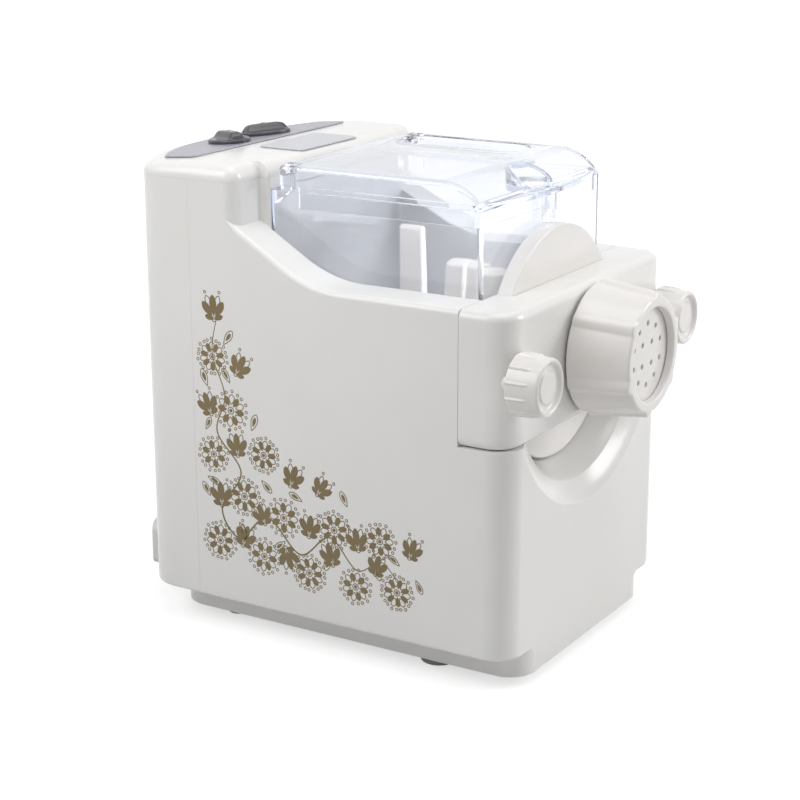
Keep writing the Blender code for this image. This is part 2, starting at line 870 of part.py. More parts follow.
def upright_rod(name, radius, low, high, steps=screw_steps):
    """A cylinder along its own Z, with its origin on its axis at height zero."""
    tool = rod(name, radius, low, high, "Z", (0, 0, 0), steps)
    shift_mesh(tool, Matrix.Translation(tool.location))
    tool.matrix_world = Matrix.Identity(4)
    return tool


def control_panel():
    """The silver-grey crescent on the tower's top."""
    center_y = bow_center_y - top_slope_start_y
    outline = crescent(panel_chord_y - top_slope_start_y, panel_half_width,
                       rear_bow_radius - panel_arc_inset, center_y, panel_corner_radius)
    part = slab("control_panel", outline, gap, gap + panel_thickness, "Z")
    part.matrix_world = panel_frame(0, 0, gap + panel_thickness / 2)
    for x in (-switch_x, switch_x):
        cut(part, tilted_rod("panel_hole", switch_neck_radius + gap, -overrun, overrun, x))
    return finish(part, SILVER_GREY, 0.35, 0.2)


def label_plate():
    """The blank rectangular plate in front of the panel."""
    outline = rounded_rectangle((-label_length / 2, label_y - label_depth / 2),
                                (label_length / 2, label_y + label_depth / 2), label_corner_radius)
    low = body_top_z + gap
    return finish(slab("label_plate", outline, low, low + label_thickness, "Z"), LABEL_GREY, 0.3, 0.3)


def oval(length, width):
    """Outline of an ellipse."""
    return [(length / 2 * math.cos(a), width / 2 * math.sin(a))
            for a in spread(0, 2 * math.pi, switch_oval_steps)[:-1]]


def switch_set(name, x, turn):
    """A rotary switch: oval cap with a grip ridge, spindle, and the body under the panel."""
    mount = bpy.data.objects.new(name + "_mount", None)
    mount.matrix_world = panel_frame(x, switch_drop_y, 0)
    parts.objects.link(mount)
    cap_low = gap + panel_thickness + switch_cap_lift
    cap_top = cap_low + switch_cap_height
    cap = slab(name + "_knob", oval(switch_cap_length, switch_cap_width), cap_low, cap_top, "Z")
    bevel(cap, switch_cap_edge, 2)
    ridge = rounded_rectangle((-switch_ridge_length / 2, -switch_ridge_width / 2),
                              (switch_ridge_length / 2, switch_ridge_width / 2),
                              switch_ridge_width * switch_ridge_corner_share)
    bar = slab(name + "_ridge", ridge, cap_low + switch_cap_height / 2, cap_top + switch_ridge_height, "Z")
    bevel(bar, switch_ridge_edge, 2)
    spindle_top = cap_low + switch_cap_height / 2 + switch_cap_height
    socket = upright_rod(name + "_socket", switch_spindle_radius + gap, 0, spindle_top + gap)
    rise = Matrix.Translation((0, 0, (cap_low + cap_top) / 2))
    cap.matrix_world = mount.matrix_world @ Matrix.Rotation(turn, 4, "Z")
    shift_mesh(cap, rise)
    bar.matrix_world = cap.matrix_world @ Matrix.Translation(
        (0, 0, (cap_low + switch_cap_height / 2 + cap_top + switch_ridge_height) / 2))
    socket.matrix_world = mount.matrix_world.copy()
    join(cap, bar)
    cut(cap, socket)
    finish(cap, DARK_GREY, 0.3)
    depth = wall + switch_spindle_depth
    spindle = upright_rod(name + "_spindle", switch_spindle_radius, -depth, spindle_top)
    finish(spindle, STEEL, 0.3, 1.0)
    spindle.matrix_world = mount.matrix_world.copy()
    reach = switch_body_size / 2
    body = box(name + "_body", (-reach, -reach, -wall - gap - switch_body_height), (reach, reach,
                                                                                    -wall - gap))
    shift_mesh(body, Matrix.Translation(body.location))
    body.matrix_world = mount.matrix_world.copy()
    neck = upright_rod(name + "_neck", switch_neck_radius, -wall - switch_body_height / 2, gap)
    neck.matrix_world = mount.matrix_world.copy()
    bore = upright_rod(name + "_bore", switch_spindle_radius + running_gap, -depth - gap, overrun)
    bore.matrix_world = mount.matrix_world.copy()
    join(body, neck)
    cut(body, bore)
    finish(body, DARK_GREY, 0.5)
    for piece in (cap, spindle, body):
        matrix = piece.matrix_world.copy()
        piece.parent = mount
        piece.matrix_parent_inverse = mount.matrix_world.inverted()
        piece.matrix_world = matrix


def shift_mesh(part, matrix):
    """Move an object's points within its own frame, so that its origin stays on its axis."""
    part.data.transform(matrix)


def base_plate():
    """The bottom plate with air slots, board posts and holes for the screws."""
    part = slab("base_plate", skirt_plan(wall + gap), base_z, base_top_z, "Z")
    for side in (-1, 1):
        for i in range(base_vent_count):
            x = (i - (base_vent_count - 1) / 2) * base_vent_pitch
            y = base_vent_y + (side - 1) * base_vent_length / 2 + (side - 1) * base_vent_width
            low = (x - base_vent_width / 2, y - base_vent_length / 2, base_z - overrun)
            high = (x + base_vent_width / 2, y + base_vent_length / 2, base_top_z + overrun)
            cut(part, box("base_vent", low, high))
    for x, y in board_posts():
        join(part, rod_z("board_post", post_radius, base_z + base_thickness / 2, board_z - gap, x, y,
                         screw_steps))
    cut(part, *screw_holes())
    return finish(part, WARM_WHITE, 0.5)


def board_posts():
    """Places of the four posts under the circuit board."""
    reach_x = board_length / 2 - post_inset
    reach_y = board_width / 2 - post_inset
    return [(x, board_y + y) for x in (-reach_x, reach_x) for y in (-reach_y, reach_y)]


def feet_and_screws():
    """Four rubber feet and four base screws."""
    names = ("left_front", "right_front", "left_rear", "right_rear")
    foot_places = [(side * foot_x, y) for y in (front_foot_y, rear_foot_y) for side in (-1, 1)]
    for name, (x, y) in zip(names, foot_places):
        top = base_z - gap
        radius = front_foot_radius if y < 0 else rear_foot_radius
        profile = [(0, top), (radius, top), (radius, foot_edge), (radius - foot_edge, 0), (0, 0)]
        finish(turned("foot_" + name, profile, (x, y, 0), "up", screw_steps), RUBBER, 0.8)
    for name, (x, y) in zip(names, screw_places()):
        head_top = base_z - gap
        profile = [(0, screw_length), (screw_radius, screw_length), (screw_radius, head_top),
                   (screw_head_radius, head_top), (screw_head_radius, head_top - screw_head_height),
                   (0, head_top - screw_head_height)]
        finish(turned("base_screw_" + name, profile, (x, y, 0), "up", screw_steps), STEEL, 0.35, 1.0)


def cord_inlet():
    """The bushing block at the rear where the supply cord enters."""
    rear_y = bow_center_y + math.sqrt(rear_bow_radius ** 2 - (abs(inlet_x) - inlet_width / 2) ** 2)
    near_y = bow_center_y + math.sqrt(rear_bow_radius ** 2 - (abs(inlet_x) + inlet_width / 2) ** 2)
    outline = rounded_rectangle((inlet_x - inlet_width / 2, inlet_z - inlet_height / 2),
                                (inlet_x + inlet_width / 2, inlet_z + inlet_height / 2), inlet_width / 3)
    part = slab("cord_inlet", outline, near_y - wall, rear_y + inlet_reach, "Y")
    shell = slab("inlet_seat", body_plan(tower_front_y, tower_corner_radius, -gap), 0, body_top_z, "Z")
    cut(part, shell)
    cut(part, rod_y("inlet_bore", inlet_hole_radius, 0, body_rear_y + overrun, inlet_x, inlet_z,
                    screw_steps))
    return finish(part, WARM_WHITE, 0.5)


def circuit_board():
    """The control board with its capacitor, relay and heat sink."""
    low = (-board_length / 2, board_y - board_width / 2, board_z)
    high = (board_length / 2, board_y + board_width / 2, board_z + board_thickness)
    part = box("circuit_board", low, high)
    top = board_z + board_thickness / 2
    cap_x = board_length / 4
    join(part, rod_z("capacitor", capacitor_radius, top, top + capacitor_height, cap_x, board_y,
                     hidden_steps))
    relay_x = -board_length / 4
    join(part, box("relay", (relay_x - relay_size / 2, board_y - relay_size / 2, top),
                   (relay_x + relay_size / 2, board_y + relay_size / 2, top + relay_height)))
    join(part, box("heat_sink", (-sink_thickness / 2, board_y - board_width / 4, top),
                   (sink_thickness / 2, board_y + board_width / 4, top + sink_height)))
    return finish(part, BOARD_GREEN, 0.5)


def mixing_tub():
    """The clear trough with its round bottom, front mouth, shaft hole and hinge ears."""
    part = slab("mixing_tub", tub_section(tub_half_width, tub_rim_z), tub_front_y, tub_rear_y, "Y")
    inner = slab("tub_inside", tub_section(tub_half_width - tub_wall, tub_rim_z + overrun),
                 tub_front_y + tub_wall, tub_rear_y - tub_wall, "Y")
    cut(part, inner)
    cut(part, rod_y("tub_mouth", tub_mouth_radius, tub_front_y - overrun,
                    tub_front_y + tub_wall + overrun, 0, axis_z))
    cut(part, rod_y("tub_shaft_hole", shaft_hole_radius, tub_rear_y - tub_wall - overrun,
                    tub_rear_y + overrun, 0, axis_z))
    for side in (-1, 1):
        join(part, hinge_ear(side))
        sides = sorted((side * (ear_outer_x() - ear_width - overrun), side * (half_width)))
        cut(part, rod("ear_bore", pin_radius + gap, *sides, "X", (0, hinge_y, hinge_z), screw_steps))
    return finish(part, CLEAR, 0.08)


def ear_outer_x():
    """Distance of the hinge ears' outer faces from the middle."""
    return tub_half_width - lid_wall - gap


def hinge_ear(side):
    """An ear on the tub's rear wall, round about the hinge axis."""
    outline = arc((hinge_y, hinge_z), ear_radius, 0, math.pi, hinge_steps)
    foot_z = tub_rim_z - tub_wall
    outline += [(hinge_y - ear_radius, tub_rim_z), (tub_rear_y - tub_wall, foot_z - ear_radius),
                (hinge_y + ear_radius, foot_z - ear_radius)]
    sides = sorted((side * ear_outer_x(), side * (ear_outer_x() - ear_width)))
    return slab("hinge_ear", outline, sides[0], sides[1], "X")


def hinge_pins():
    """The two steel pins of the lid's hinge."""
    for name, side in (("left", -1), ("right", 1)):
        sides = sorted((side * (ear_outer_x() - ear_width), side * (tub_half_width - gap)))
        pin = rod("hinge_pin_" + name, pin_radius, *sides, "X", (0, hinge_y, hinge_z), screw_steps)
        finish(pin, STEEL, 0.25, 1.0)


def lid():
    """The clear lid: bowed front, front tab with its latch, water slot and inner lip."""
    part = slab("lid", lid_profile(0), -tub_half_width, tub_half_width, "X")
    reach = tub_half_width - lid_wall
    hollow_line = [(y, z) if z > tub_rim_z + lid_wall else (y, tub_rim_z - overrun) for y,
                   z in lid_profile(lid_wall)]
    cut(part, slab("lid_hollow", hollow_line, -reach, reach, "X"))
    cut(part, wide_cutter("lid_rear_relief", hinge_y - overrun, body_rear_y, 0, lid_rear_wall_z))
    join(part, lid_tab(), lid_latch(), *lid_lips())
    floor = lid_top_z - trough_depth
    join(part, slab("trough_wall", trough_outline(trough_wall), floor - trough_wall, lid_top_z, "Z"))
    cut(part, slab("trough_room", trough_outline(0), floor, lid_top_z + overrun, "Z"))
    slit = centred_outline(drip_slot_width, drip_slot_length, drip_slot_corner, trough_x, trough_y)
    cut(part, slab("drip_slot", slit, floor - overrun, floor + overrun, "Z"))
    join(part, scoop_wall())
    floor = tub_rim_z + gap + lid_tab_thickness
    cut(part, rod_z("finger_scoop", scoop_radius, floor, lid_top_z + overrun, 0, scoop_y, scoop_steps))
    for side in (-1, 1):
        sides = sorted((side * (ear_outer_x() - ear_width - gap), side * reach))
        notch = box("ear_notch", (sides[0], hinge_y - ear_radius - ear_notch_length,
                                  lid_rear_wall_z - overrun),
                    (sides[1], body_rear_y, body_top_z + overrun))
        cut(part, notch)
    cut(part, rod("hinge_bore", pin_radius + gap, -half_width, half_width, "X", (0, hinge_y, hinge_z),
                  screw_steps))
    finish(part, CLEAR, 0.08)
    move_origin(part, (0, hinge_y, hinge_z))
    return part


def centred_outline(width, length, corner, x, y):
    """Outline of a rectangle with round corners, about a place."""
    return rounded_rectangle((x - width / 2, y - length / 2), (x + width / 2, y + length / 2), corner)


def trough_outline(outset):
    """Outline of the water trough in the lid's top."""
    return centred_outline(trough_width + outset * 2, trough_length + outset * 2, trough_corner + outset,
                           trough_x, trough_y)


def scoop_wall():
    """The wall round the finger scoop, held under the lid's outer surface."""
    wall_block = rod_z("scoop_wall", scoop_radius + lid_tab_thickness, tub_rim_z + gap, lid_top_z, 0,
                       scoop_y,
                       scoop_steps)
    return keep_inside(wall_block, slab("scoop_limit", lid_profile(0), -tub_half_width, tub_half_width,
                                        "X"))


def lid_tab():
    """The bowed tab along the lid's front edge."""
    chord_y = tub_front_y
    rear_y = tub_front_y + tub_wall * 2
    outline = [(lid_tab_half_width, rear_y), (-lid_tab_half_width, rear_y)]
    for share in spread(-1, 1, lid_tab_steps):
        outline.append((share * lid_tab_half_width, chord_y - lid_tab_reach * (1 - share ** 2)))
    return slab("lid_tab", outline, tub_rim_z + gap, tub_rim_z + gap + lid_tab_thickness, "Z")


def lid_latch():
    """The tongue under the middle of the tab, just above the head's disc."""
    return box("lid_latch", (-latch_width / 2, latch_rear_y - latch_thickness, latch_bottom_z),
               (latch_width / 2, latch_rear_y, tub_rim_z + lid_tab_thickness))


def lid_lips():
    """The inner lip that reaches into the tub along its sides and front."""
    low = tub_rim_z - lid_lip_depth
    high = tub_rim_z + lid_wall
    side = tub_half_width - lid_lip_side_inset
    front = tub_front_y + lid_lip_front_inset
    tools = []
    for x in (-side, side - lid_lip_wall):
        tools.append(box("lid_side_lip", (x, front, low), (x + lid_lip_wall, lid_lip_rear_y, high)))
        link = sorted((x, x + lid_lip_wall + math.copysign(lid_lip_wall, x)))
        tools.append(box("lid_lip_link", (min(link[0], x), front, tub_rim_z + gap),
                         (max(link[1], x + lid_lip_wall), lid_lip_rear_y, high)))
    tools.append(box("lid_front_lip", (-side, front, low), (side, front + lid_lip_wall, high)))
    tools.append(box("lid_front_link", (-side, front - lid_lip_wall, tub_rim_z + gap), (side,
                                                                           front + lid_lip_wall, high)))
    return tools


def move_origin(part, point):
    """Put an object's origin at a point without moving its shape."""
    target = Matrix.Translation(point)
    part.data.transform(target.inverted() @ part.matrix_world)
    part.matrix_world = target


def extruder_head():
    """The bar across the front that clamps the disc: a shell with two screw bosses."""
    plan = body_plan(body_front_y, front_corner_radius, 0)
    part = slab("extruder_head", plan, head_bottom_z, ledge_z, "Z")
    weigh_edges(part, head_bottom_z, ledge_z)
    bevel(part, head_edge_radius, head_edge_segments, weighted=True)
    rear = head_seam_y - gap
    cut(part, wide_cutter("head_rear_cut", rear, body_rear_y + overrun, 0, body_top_z))
    inner = slab("head_hollow", body_plan(body_front_y, front_corner_radius, wall),
                 head_bottom_z + wall, ledge_z - wall, "Z")
    for side in (-1, 1):
        boss = rod_y("clamp_boss_core", clamp_boss_radius, body_front_y,
                     clamp_boss_face_y + clamp_boss_length,
                     side * clamp_x, axis_z, hidden_steps)
        cut(inner, boss)
    cut(part, inner)
    for side in (-1, 1):
        face = rod_y("clamp_boss", clamp_boss_radius, clamp_boss_face_y,
                     body_front_y + wall + front_corner_radius,
                     side * clamp_x, axis_z, hidden_steps)
        join(part, face)
        cut(part, rod_y("clamp_bore", clamp_screw_radius + gap, body_front_y - overrun, 0, side * clamp_x,
                        axis_z,
                        screw_steps))
    cut(part, rod_y("disc_room", disc_radius + gap, disc_front_y - gap, 0, 0, axis_z, dish_steps))
    cut(part, rod_y("barrel_room", barrel_radius + head_barrel_gap, body_front_y - overrun, 0, 0, axis_z))
    return finish(part, WHITE, 0.25)


def front_disc():
    """The disc that closes the tub's mouth, in one piece with the threaded barrel."""
    groove_out = seal_outer_radius + gap
    groove_in = seal_inner_radius - gap
    groove = disc_rear_y - seal_depth - gap
    profile = [(barrel_radius, -barrel_front_y), (barrel_radius, -disc_front_y), (disc_radius,
                                                                                  -disc_front_y),
               (disc_radius, -disc_rear_y), (groove_out, -disc_rear_y), (groove_out, -groove), (groove_in,
                                                                                                -groove),
               (groove_in, -disc_rear_y), (barrel_bore, -disc_rear_y), (barrel_bore, -barrel_front_y)]
    return finish(turned("front_disc", profile, (0, 0, axis_z), "front", dish_steps), WARM_WHITE, 0.3)


def disc_seal():
    """The rubber ring between the disc and the tub."""
    front = disc_rear_y - seal_depth
    rear = tub_front_y - gap
    seal = ring_y("disc_seal", seal_outer_radius, seal_inner_radius, front, rear, 0, axis_z, dish_steps)
    return finish(seal, RUBBER, 0.7)


def die_plate():
    """The die: a round plate with an outer and an inner ring of holes."""
    front = die_front_y
    rear = front + die_thickness
    part = rod_y("die_plate", die_radius, front, rear, 0, axis_z)
    for ring, count in ((die_outer_ring, die_outer_count), (die_inner_ring, die_inner_count)):
        for i in range(count):
            angle = 2 * math.pi * (i + 0.5) / count
            x = ring * math.cos(angle)
            z = axis_z + ring * math.sin(angle)
            cut(part, rod_y("die_hole", die_hole_radius, front - overrun, rear + overrun, x, z,
                            die_hole_steps))
    return finish(part, WARM_WHITE, 0.35)


def ribs(name, count, width, height, front, rear, z):
    """Straight ribs round a cone, one box each, in one shape.

    front and rear are (radius, y) pairs of the cone's line, along which the ribs lie.
    """
    mesh = bpy.data.meshes.new(name)
    work = bmesh.new()
    run = Vector((rear[0] - front[0], 0, front[1] - rear[1]))
    lean = math.atan2(run.x, -run.z)
    middle = Vector(((front[0] + rear[0]) / 2, 0, -(front[1] + rear[1]) / 2))
    for i in range(count):
        size = Matrix.Diagonal((height * 2, width, run.length, 1))
        spin = Matrix.Rotation(2 * math.pi * (i + 0.5) / count, 4, "Z")
        tilt = Matrix.Rotation(-lean, 4, "Y")
        bmesh.ops.create_cube(work, size=1, matrix=spin @ Matrix.Translation(middle) @ tilt @ size)
    work.to_mesh(mesh)
    work.free()
    part = bpy.data.objects.new(name, mesh)
    part.location = (0, 0, z)
    part.rotation_euler = (math.pi / 2, 0, 0)
    return place(part, cutters)


def ring_nut():
    """The ribbed nut that holds the die on the barrel."""
    bore = barrel_radius + nut_bore_gap
    lip_inner_y = nut_front_y + nut_lip_thickness
    profile = [(nut_front_radius - nut_edge, -nut_front_y), (nut_front_radius, -nut_front_y - nut_edge),
               (nut_rear_radius, -nut_rear_y), (bore, -nut_rear_y), (bore, -lip_inner_y),
               (nut_lip_radius, -lip_inner_y), (nut_lip_radius, -nut_front_y)]
    part = turned("ring_nut", profile, (0, 0, axis_z), "front")
    length = (nut_rear_y - nut_front_y) * nut_rib_length_share
    taper = (nut_rear_radius - nut_front_radius) * nut_rib_length_share
    rear_y = nut_rear_y - nut_edge
    bars = ribs("nut_ribs", nut_rib_count, nut_rib_width, nut_rib_height,
                (nut_rear_radius - taper, rear_y - length), (nut_rear_radius, rear_y), axis_z)
    join(part, bars)
    return finish(part, WARM_WHITE, 0.3)


def clamp_set(name, side):
    """One clamp: threaded insert, screw, washer and knob."""
    x = side * clamp_x
    insert = ring_y("clamp_insert_" + name, insert_radius, clamp_screw_radius + gap, head_seam_y + gap,
                    head_seam_y + gap + insert_length, x, axis_z, screw_steps)
    finish(insert, BRASS, 0.35, 1.0)
    screw = rod_y("clamp_screw_" + name, clamp_screw_radius, clamp_screw_front_y, clamp_screw_rear_y, x,
                  axis_z, screw_steps)
    finish(screw, STEEL, 0.3, 1.0)
    washer_rear = clamp_boss_face_y - gap
    washer = ring_y("clamp_washer_" + name, washer_radius, clamp_screw_radius + gap,
                    washer_rear - washer_thickness, washer_rear, x, axis_z, screw_steps)
    finish(washer, STEEL, 0.3, 1.0)
    knob_rear = washer_rear - washer_thickness - gap
    front = knob_length - knob_rear
    rim = knob_front_radius - knob_edge_radius * 2
    hole = clamp_screw_radius + gap
    profile = [(0, front - knob_button_rise), (knob_button_radius, front - knob_button_rise),
               (knob_button_radius, front - knob_dish_depth), (knob_dish_radius, front - knob_dish_depth),
               (rim, front), (knob_front_radius - knob_edge_radius, front), (knob_front_radius,
                                                                             front - knob_edge_radius),
               (knob_rear_radius, -knob_rear), (hole, -knob_rear), (hole, gap - clamp_screw_front_y),
               (0, gap - clamp_screw_front_y)]
    knob = turned("clamp_knob_" + name, profile, (x, 0, axis_z), "front", knob_steps)
    length = knob_length * knob_rib_length_share
    taper = (knob_rear_radius - knob_front_radius) * knob_rib_length_share
    bars = ribs("knob_ribs", knob_rib_count, knob_rib_width, knob_rib_height,
                (knob_rear_radius - taper, knob_rear - knob_edge_radius - length),
                (knob_rear_radius, knob_rear - knob_edge_radius), axis_z)
    bars.location.x = x
    join(knob, bars)
    finish(knob, WARM_WHITE, 0.3)


def mixing_paddle():
    """The white paddle: hub with mixing arms, and the auger that feeds the barrel."""
    part = rod_y("mixing_paddle", hub_radius, hub_front_y, hub_rear_y, 0, axis_z)
    join(part, rod_y("auger_core", auger_core_radius, auger_front_y, hub_front_y + overrun, 0, axis_z,
                     hidden_steps))
    for place_share, degrees, reach, width in arm_places:
        join(part, paddle_arm(place_share * arm_place_length, math.radians(degrees), reach, width))
    join(part, auger_flight_sheet())
    socket = shaft_radius + gap
    cut(part, rod_y("paddle_socket", socket, shaft_front_y - gap, hub_rear_y + overrun, 0, axis_z,
                    hidden_steps))
    return finish(part, WARM_WHITE, 0.35)


def paddle_arm(y, angle, reach, width):
    """One flat arm that stands out from the hub."""
    arm = box("paddle_arm", (0, -width / 2, -arm_thickness / 2), (reach, width / 2, arm_thickness / 2))
    shift_mesh(arm, Matrix.Translation(arm.location))
    arm.matrix_world = Matrix.Translation((0, y, axis_z)) @ Matrix.Rotation(-angle, 4, "Y")
    return bevel(arm, arm_edge, 2)


def auger_flight_sheet():
    """The helical flight round the auger's core: a line swept along a screw, then thickened."""
    mesh = bpy.data.meshes.new("auger_flight")
    inner = auger_core_radius / 2
    mesh.from_pydata([(inner, 0, 0), (auger_radius, 0, 0)], [(0, 1)], [])
    flight = bpy.data.objects.new("auger_flight", mesh)
    flight.location = (0, auger_front_y + auger_flight + auger_pitch * auger_turns, axis_z)
    flight.rotation_euler = (math.pi / 2, 0, 0)
    screw = flight.modifiers.new("flight", "SCREW")
    screw.steps = auger_steps
    screw.render_steps = auger_steps
    screw.iterations = auger_turns
    screw.screw_offset = auger_pitch
    thick = flight.modifiers.new("thickness", "SOLIDIFY")
    thick.thickness = auger_flight
    thick.offset = 0
    return place(flight, cutters)


def shaft_seal():
    """The rubber ring round the drive shaft in the tub's rear wall."""
    outer = shaft_hole_radius - gap
    return finish(ring_y("shaft_seal", outer, shaft_radius + running_gap, tub_rear_y - tub_wall,
                         tower_front_y + wall, 0, axis_z, hidden_steps), RUBBER, 0.7)


def gear(name, teeth, front_y, width, x, z, bore, first_angle):
    """A spur gear with a plain hub on its rear side."""
    part = slab(name, gear_outline(teeth, first_angle), front_y, front_y + width, "Y", (x, 0, z))
    cut(part, rod_y(name + "_bore", bore, front_y - overrun, front_y + width + overrun, x, z, screw_steps))
    return part


def drive_train():
    """Output gear and shaft, lay gear, pinion and shaft, and the motor's pinion."""
    shaft = rod_y("drive_shaft", shaft_radius, shaft_front_y, shaft_rear_y, 0, axis_z, hidden_steps)
    finish(shaft, STEEL, 0.3, 1.0)
    down = -math.pi / 2
    output = gear("output_gear", output_teeth, output_gear_front_y, output_gear_width, 0, axis_z,
                  shaft_radius + gap, down)
    finish(output, NYLON, 0.5)
    half_tooth = math.pi / pinion_teeth
    lay = gear("lay_gear", lay_teeth, lay_gear_front_y, lay_gear_width, 0, lay_z, lay_shaft_radius + gap,
               down)
    finish(lay, NYLON, 0.5)
    pinion = gear("lay_pinion", pinion_teeth, output_gear_front_y - pinion_extra_width,
                  output_gear_width + pinion_extra_width * 2, 0, lay_z, lay_shaft_radius + gap,
                  half_tooth - down)
    finish(pinion, STEEL, 0.35, 1.0)
    lay_shaft = rod_y("lay_shaft", lay_shaft_radius, frame_front_y - bush_overhang,
                      frame_rear_y + frame_thickness + bush_overhang, 0, lay_z, screw_steps)
    finish(lay_shaft, STEEL, 0.3, 1.0)
    motor_pinion = gear("motor_pinion", pinion_teeth, lay_gear_front_y - pinion_extra_width,
                        lay_gear_width + pinion_extra_width * 2, 0, motor_z, rotor_shaft_radius + gap,
                        half_tooth - down)
    finish(motor_pinion, BRASS, 0.35, 1.0)


def frame_plate(name, front_y, flange_to):
    """One plate of the gear frame, with a flange on the base plate."""
    low_z = base_top_z + gap
    outline = rounded_rectangle((-frame_half_width, low_z - frame_corner_radius), (frame_half_width,
                                                                                   frame_top_z),
                                frame_corner_radius)
    part = slab(name, outline, front_y, front_y + frame_thickness, "Y")
    cut(part, box("plate_foot_cut", (-half_width, 0, -half_width), (half_width, body_rear_y, low_z)))
    edges = sorted((front_y + frame_thickness / 2, flange_to))
    join(part, box("plate_flange", (-frame_half_width, edges[0], low_z),
                   (frame_half_width, edges[1], low_z + frame_thickness)))
    for radius, z in ((shaft_radius + bush_wall + gap, axis_z), (lay_shaft_radius + bush_wall + gap,
                                                                 lay_z)):
        cut(part, rod_y("bush_hole", radius, front_y - overrun, front_y + frame_thickness + overrun, 0, z,
                        hidden_steps))
    return part


def gear_frame():
    """The front and rear plates that carry the bushes and the motor, and the four bushes."""
    front = frame_plate("gear_frame_front", frame_front_y, frame_front_y + frame_flange_length)
    finish(front, STEEL, 0.4, 1.0)
    rear = frame_plate("gear_frame_rear", frame_rear_y, frame_rear_y + frame_flange_length)
    cut(rear, rod_y("motor_shaft_hole", motor_shaft_hole_radius, frame_rear_y - overrun,
                    frame_rear_y + frame_thickness + overrun, 0, motor_z, screw_steps))
    finish(rear, STEEL, 0.4, 1.0)
    for name, plate_y in (("front", frame_front_y), ("rear", frame_rear_y)):
        for kind, radius, z in (("drive", shaft_radius, axis_z), ("lay", lay_shaft_radius, lay_z)):
            bush = ring_y(kind + "_bush_" + name, radius + bush_wall, radius + running_gap,
                          plate_y - bush_overhang,
                          plate_y + frame_thickness + bush_overhang, 0, z, hidden_steps)
            finish(bush, BRASS, 0.4, 1.0)


def motor():
    """The motor: can, stator, rotor with its shaft, end cap and cooling fan."""
    front = motor_front_y
    rear = front + motor_length
    inner = motor_radius - motor_wall
    shaft_room = motor_shaft_hole_radius
    can = turned("motor_can", [(motor_radius, -front), (motor_radius, -rear), (inner, -rear),
                               (inner, -front - motor_wall), (shaft_room, -front - motor_wall),
                               (shaft_room, -front)],
                 (0, 0, motor_z), "front", hidden_steps)
    finish(can, STEEL, 0.4, 1.0)
    stator_front = front + (motor_length - stator_length) / 2
    stator = ring_y("motor_stator", inner - gap, inner - stator_wall, stator_front,
                    stator_front + stator_length,
                    0, motor_z, hidden_steps)
    finish(stator, COPPER, 0.5, 0.5)
    cap_front = rear + gap
    cap_rear = cap_front + end_cap_thickness
    cap = ring_y("motor_end_cap", motor_radius, rotor_shaft_radius + running_gap, cap_front, cap_rear, 0,
                 motor_z,
                 hidden_steps)
    for i in range(vent_count):
        angle = 2 * math.pi * i / vent_count
        ring = (motor_radius + rotor_shaft_radius) / 2
        cut(cap, rod_y("cap_vent", vent_radius, cap_front - overrun, cap_rear + overrun,
                       ring * math.cos(angle), motor_z + ring * math.sin(angle), screw_steps))
    finish(cap, DARK_GREY, 0.5)
    armature_front = front + (motor_length - armature_length) / 2
    fan_front = cap_rear + gap * 2
    fan_rear = fan_front + fan_thickness
    profile = [(0, -lay_gear_front_y), (rotor_shaft_radius, -lay_gear_front_y), (rotor_shaft_radius,
                                                                                 -armature_front),
               (armature_radius, -armature_front), (armature_radius, -armature_front - armature_length),
               (rotor_shaft_radius, -armature_front - armature_length), (rotor_shaft_radius, -fan_rear),
               (0, -fan_rear)]
    finish(turned("motor_rotor", profile, (0, 0, motor_z), "front", hidden_steps), STEEL, 0.35, 1.0)
    fan = ring_y("cooling_fan", fan_radius, rotor_shaft_radius + gap, fan_front, fan_rear, 0, motor_z,
                 hidden_steps)
    for i in range(fan_blade_count):
        angle = 2 * math.pi * i / fan_blade_count
        blade = box("fan_blade", (fan_radius / 3, fan_front + fan_thickness / 2, -fan_blade_thickness / 2),
                    (fan_radius, fan_rear + fan_blade_height, fan_blade_thickness / 2))
        shift_mesh(blade, Matrix.Translation(blade.location))
        blade.matrix_world = Matrix.Translation((0, 0, motor_z)) @ Matrix.Rotation(angle, 4, "Y")
        join(fan, blade)
    finish(fan, DARK_GREY, 0.5)


def center_box():
    """Move the machine so that the middle of its box, front to rear, lies over the origin."""
    middle_y = (nut_front_y + body_rear_y) / 2
    for group in (parts, cutters):
        for item in group.objects:
            if item.parent is None:
                item.location.y -= middle_y


def build():
    """Make every sub-part of the machine."""
    main_housing()
    rear_housing()
    top_cover()
    control_panel()
    label_plate()
    switch_set("left_switch", -switch_x, math.pi / 2)
    switch_set("right_switch", switch_x, 0)
    base_plate()
    feet_and_screws()
    cord_inlet()
    circuit_board()
    mixing_tub()
    hinge_pins()
    lid()
    extruder_head()
    front_disc()
    disc_seal()
    die_plate()
    ring_nut()
    clamp_set("left", -1)
    clamp_set("right", 1)
    mixing_paddle()
    shaft_seal()
    drive_train()
    gear_frame()
    motor()
    center_box()


build()
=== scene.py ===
# %% [markdown]
# # An electric pasta maker, dressed in Blender
# The machine kneads dough in a clear tub and presses it through a die in front. Its solids come
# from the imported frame. This script makes the visible pieces again as smooth surfaces, gives each
# one the finish of the real thing, and lights them like a catalogue photograph.

# %% Load the frame
import json
import math

import bmesh
import bpy
import numpy as np
from mathutils import Matrix, Vector

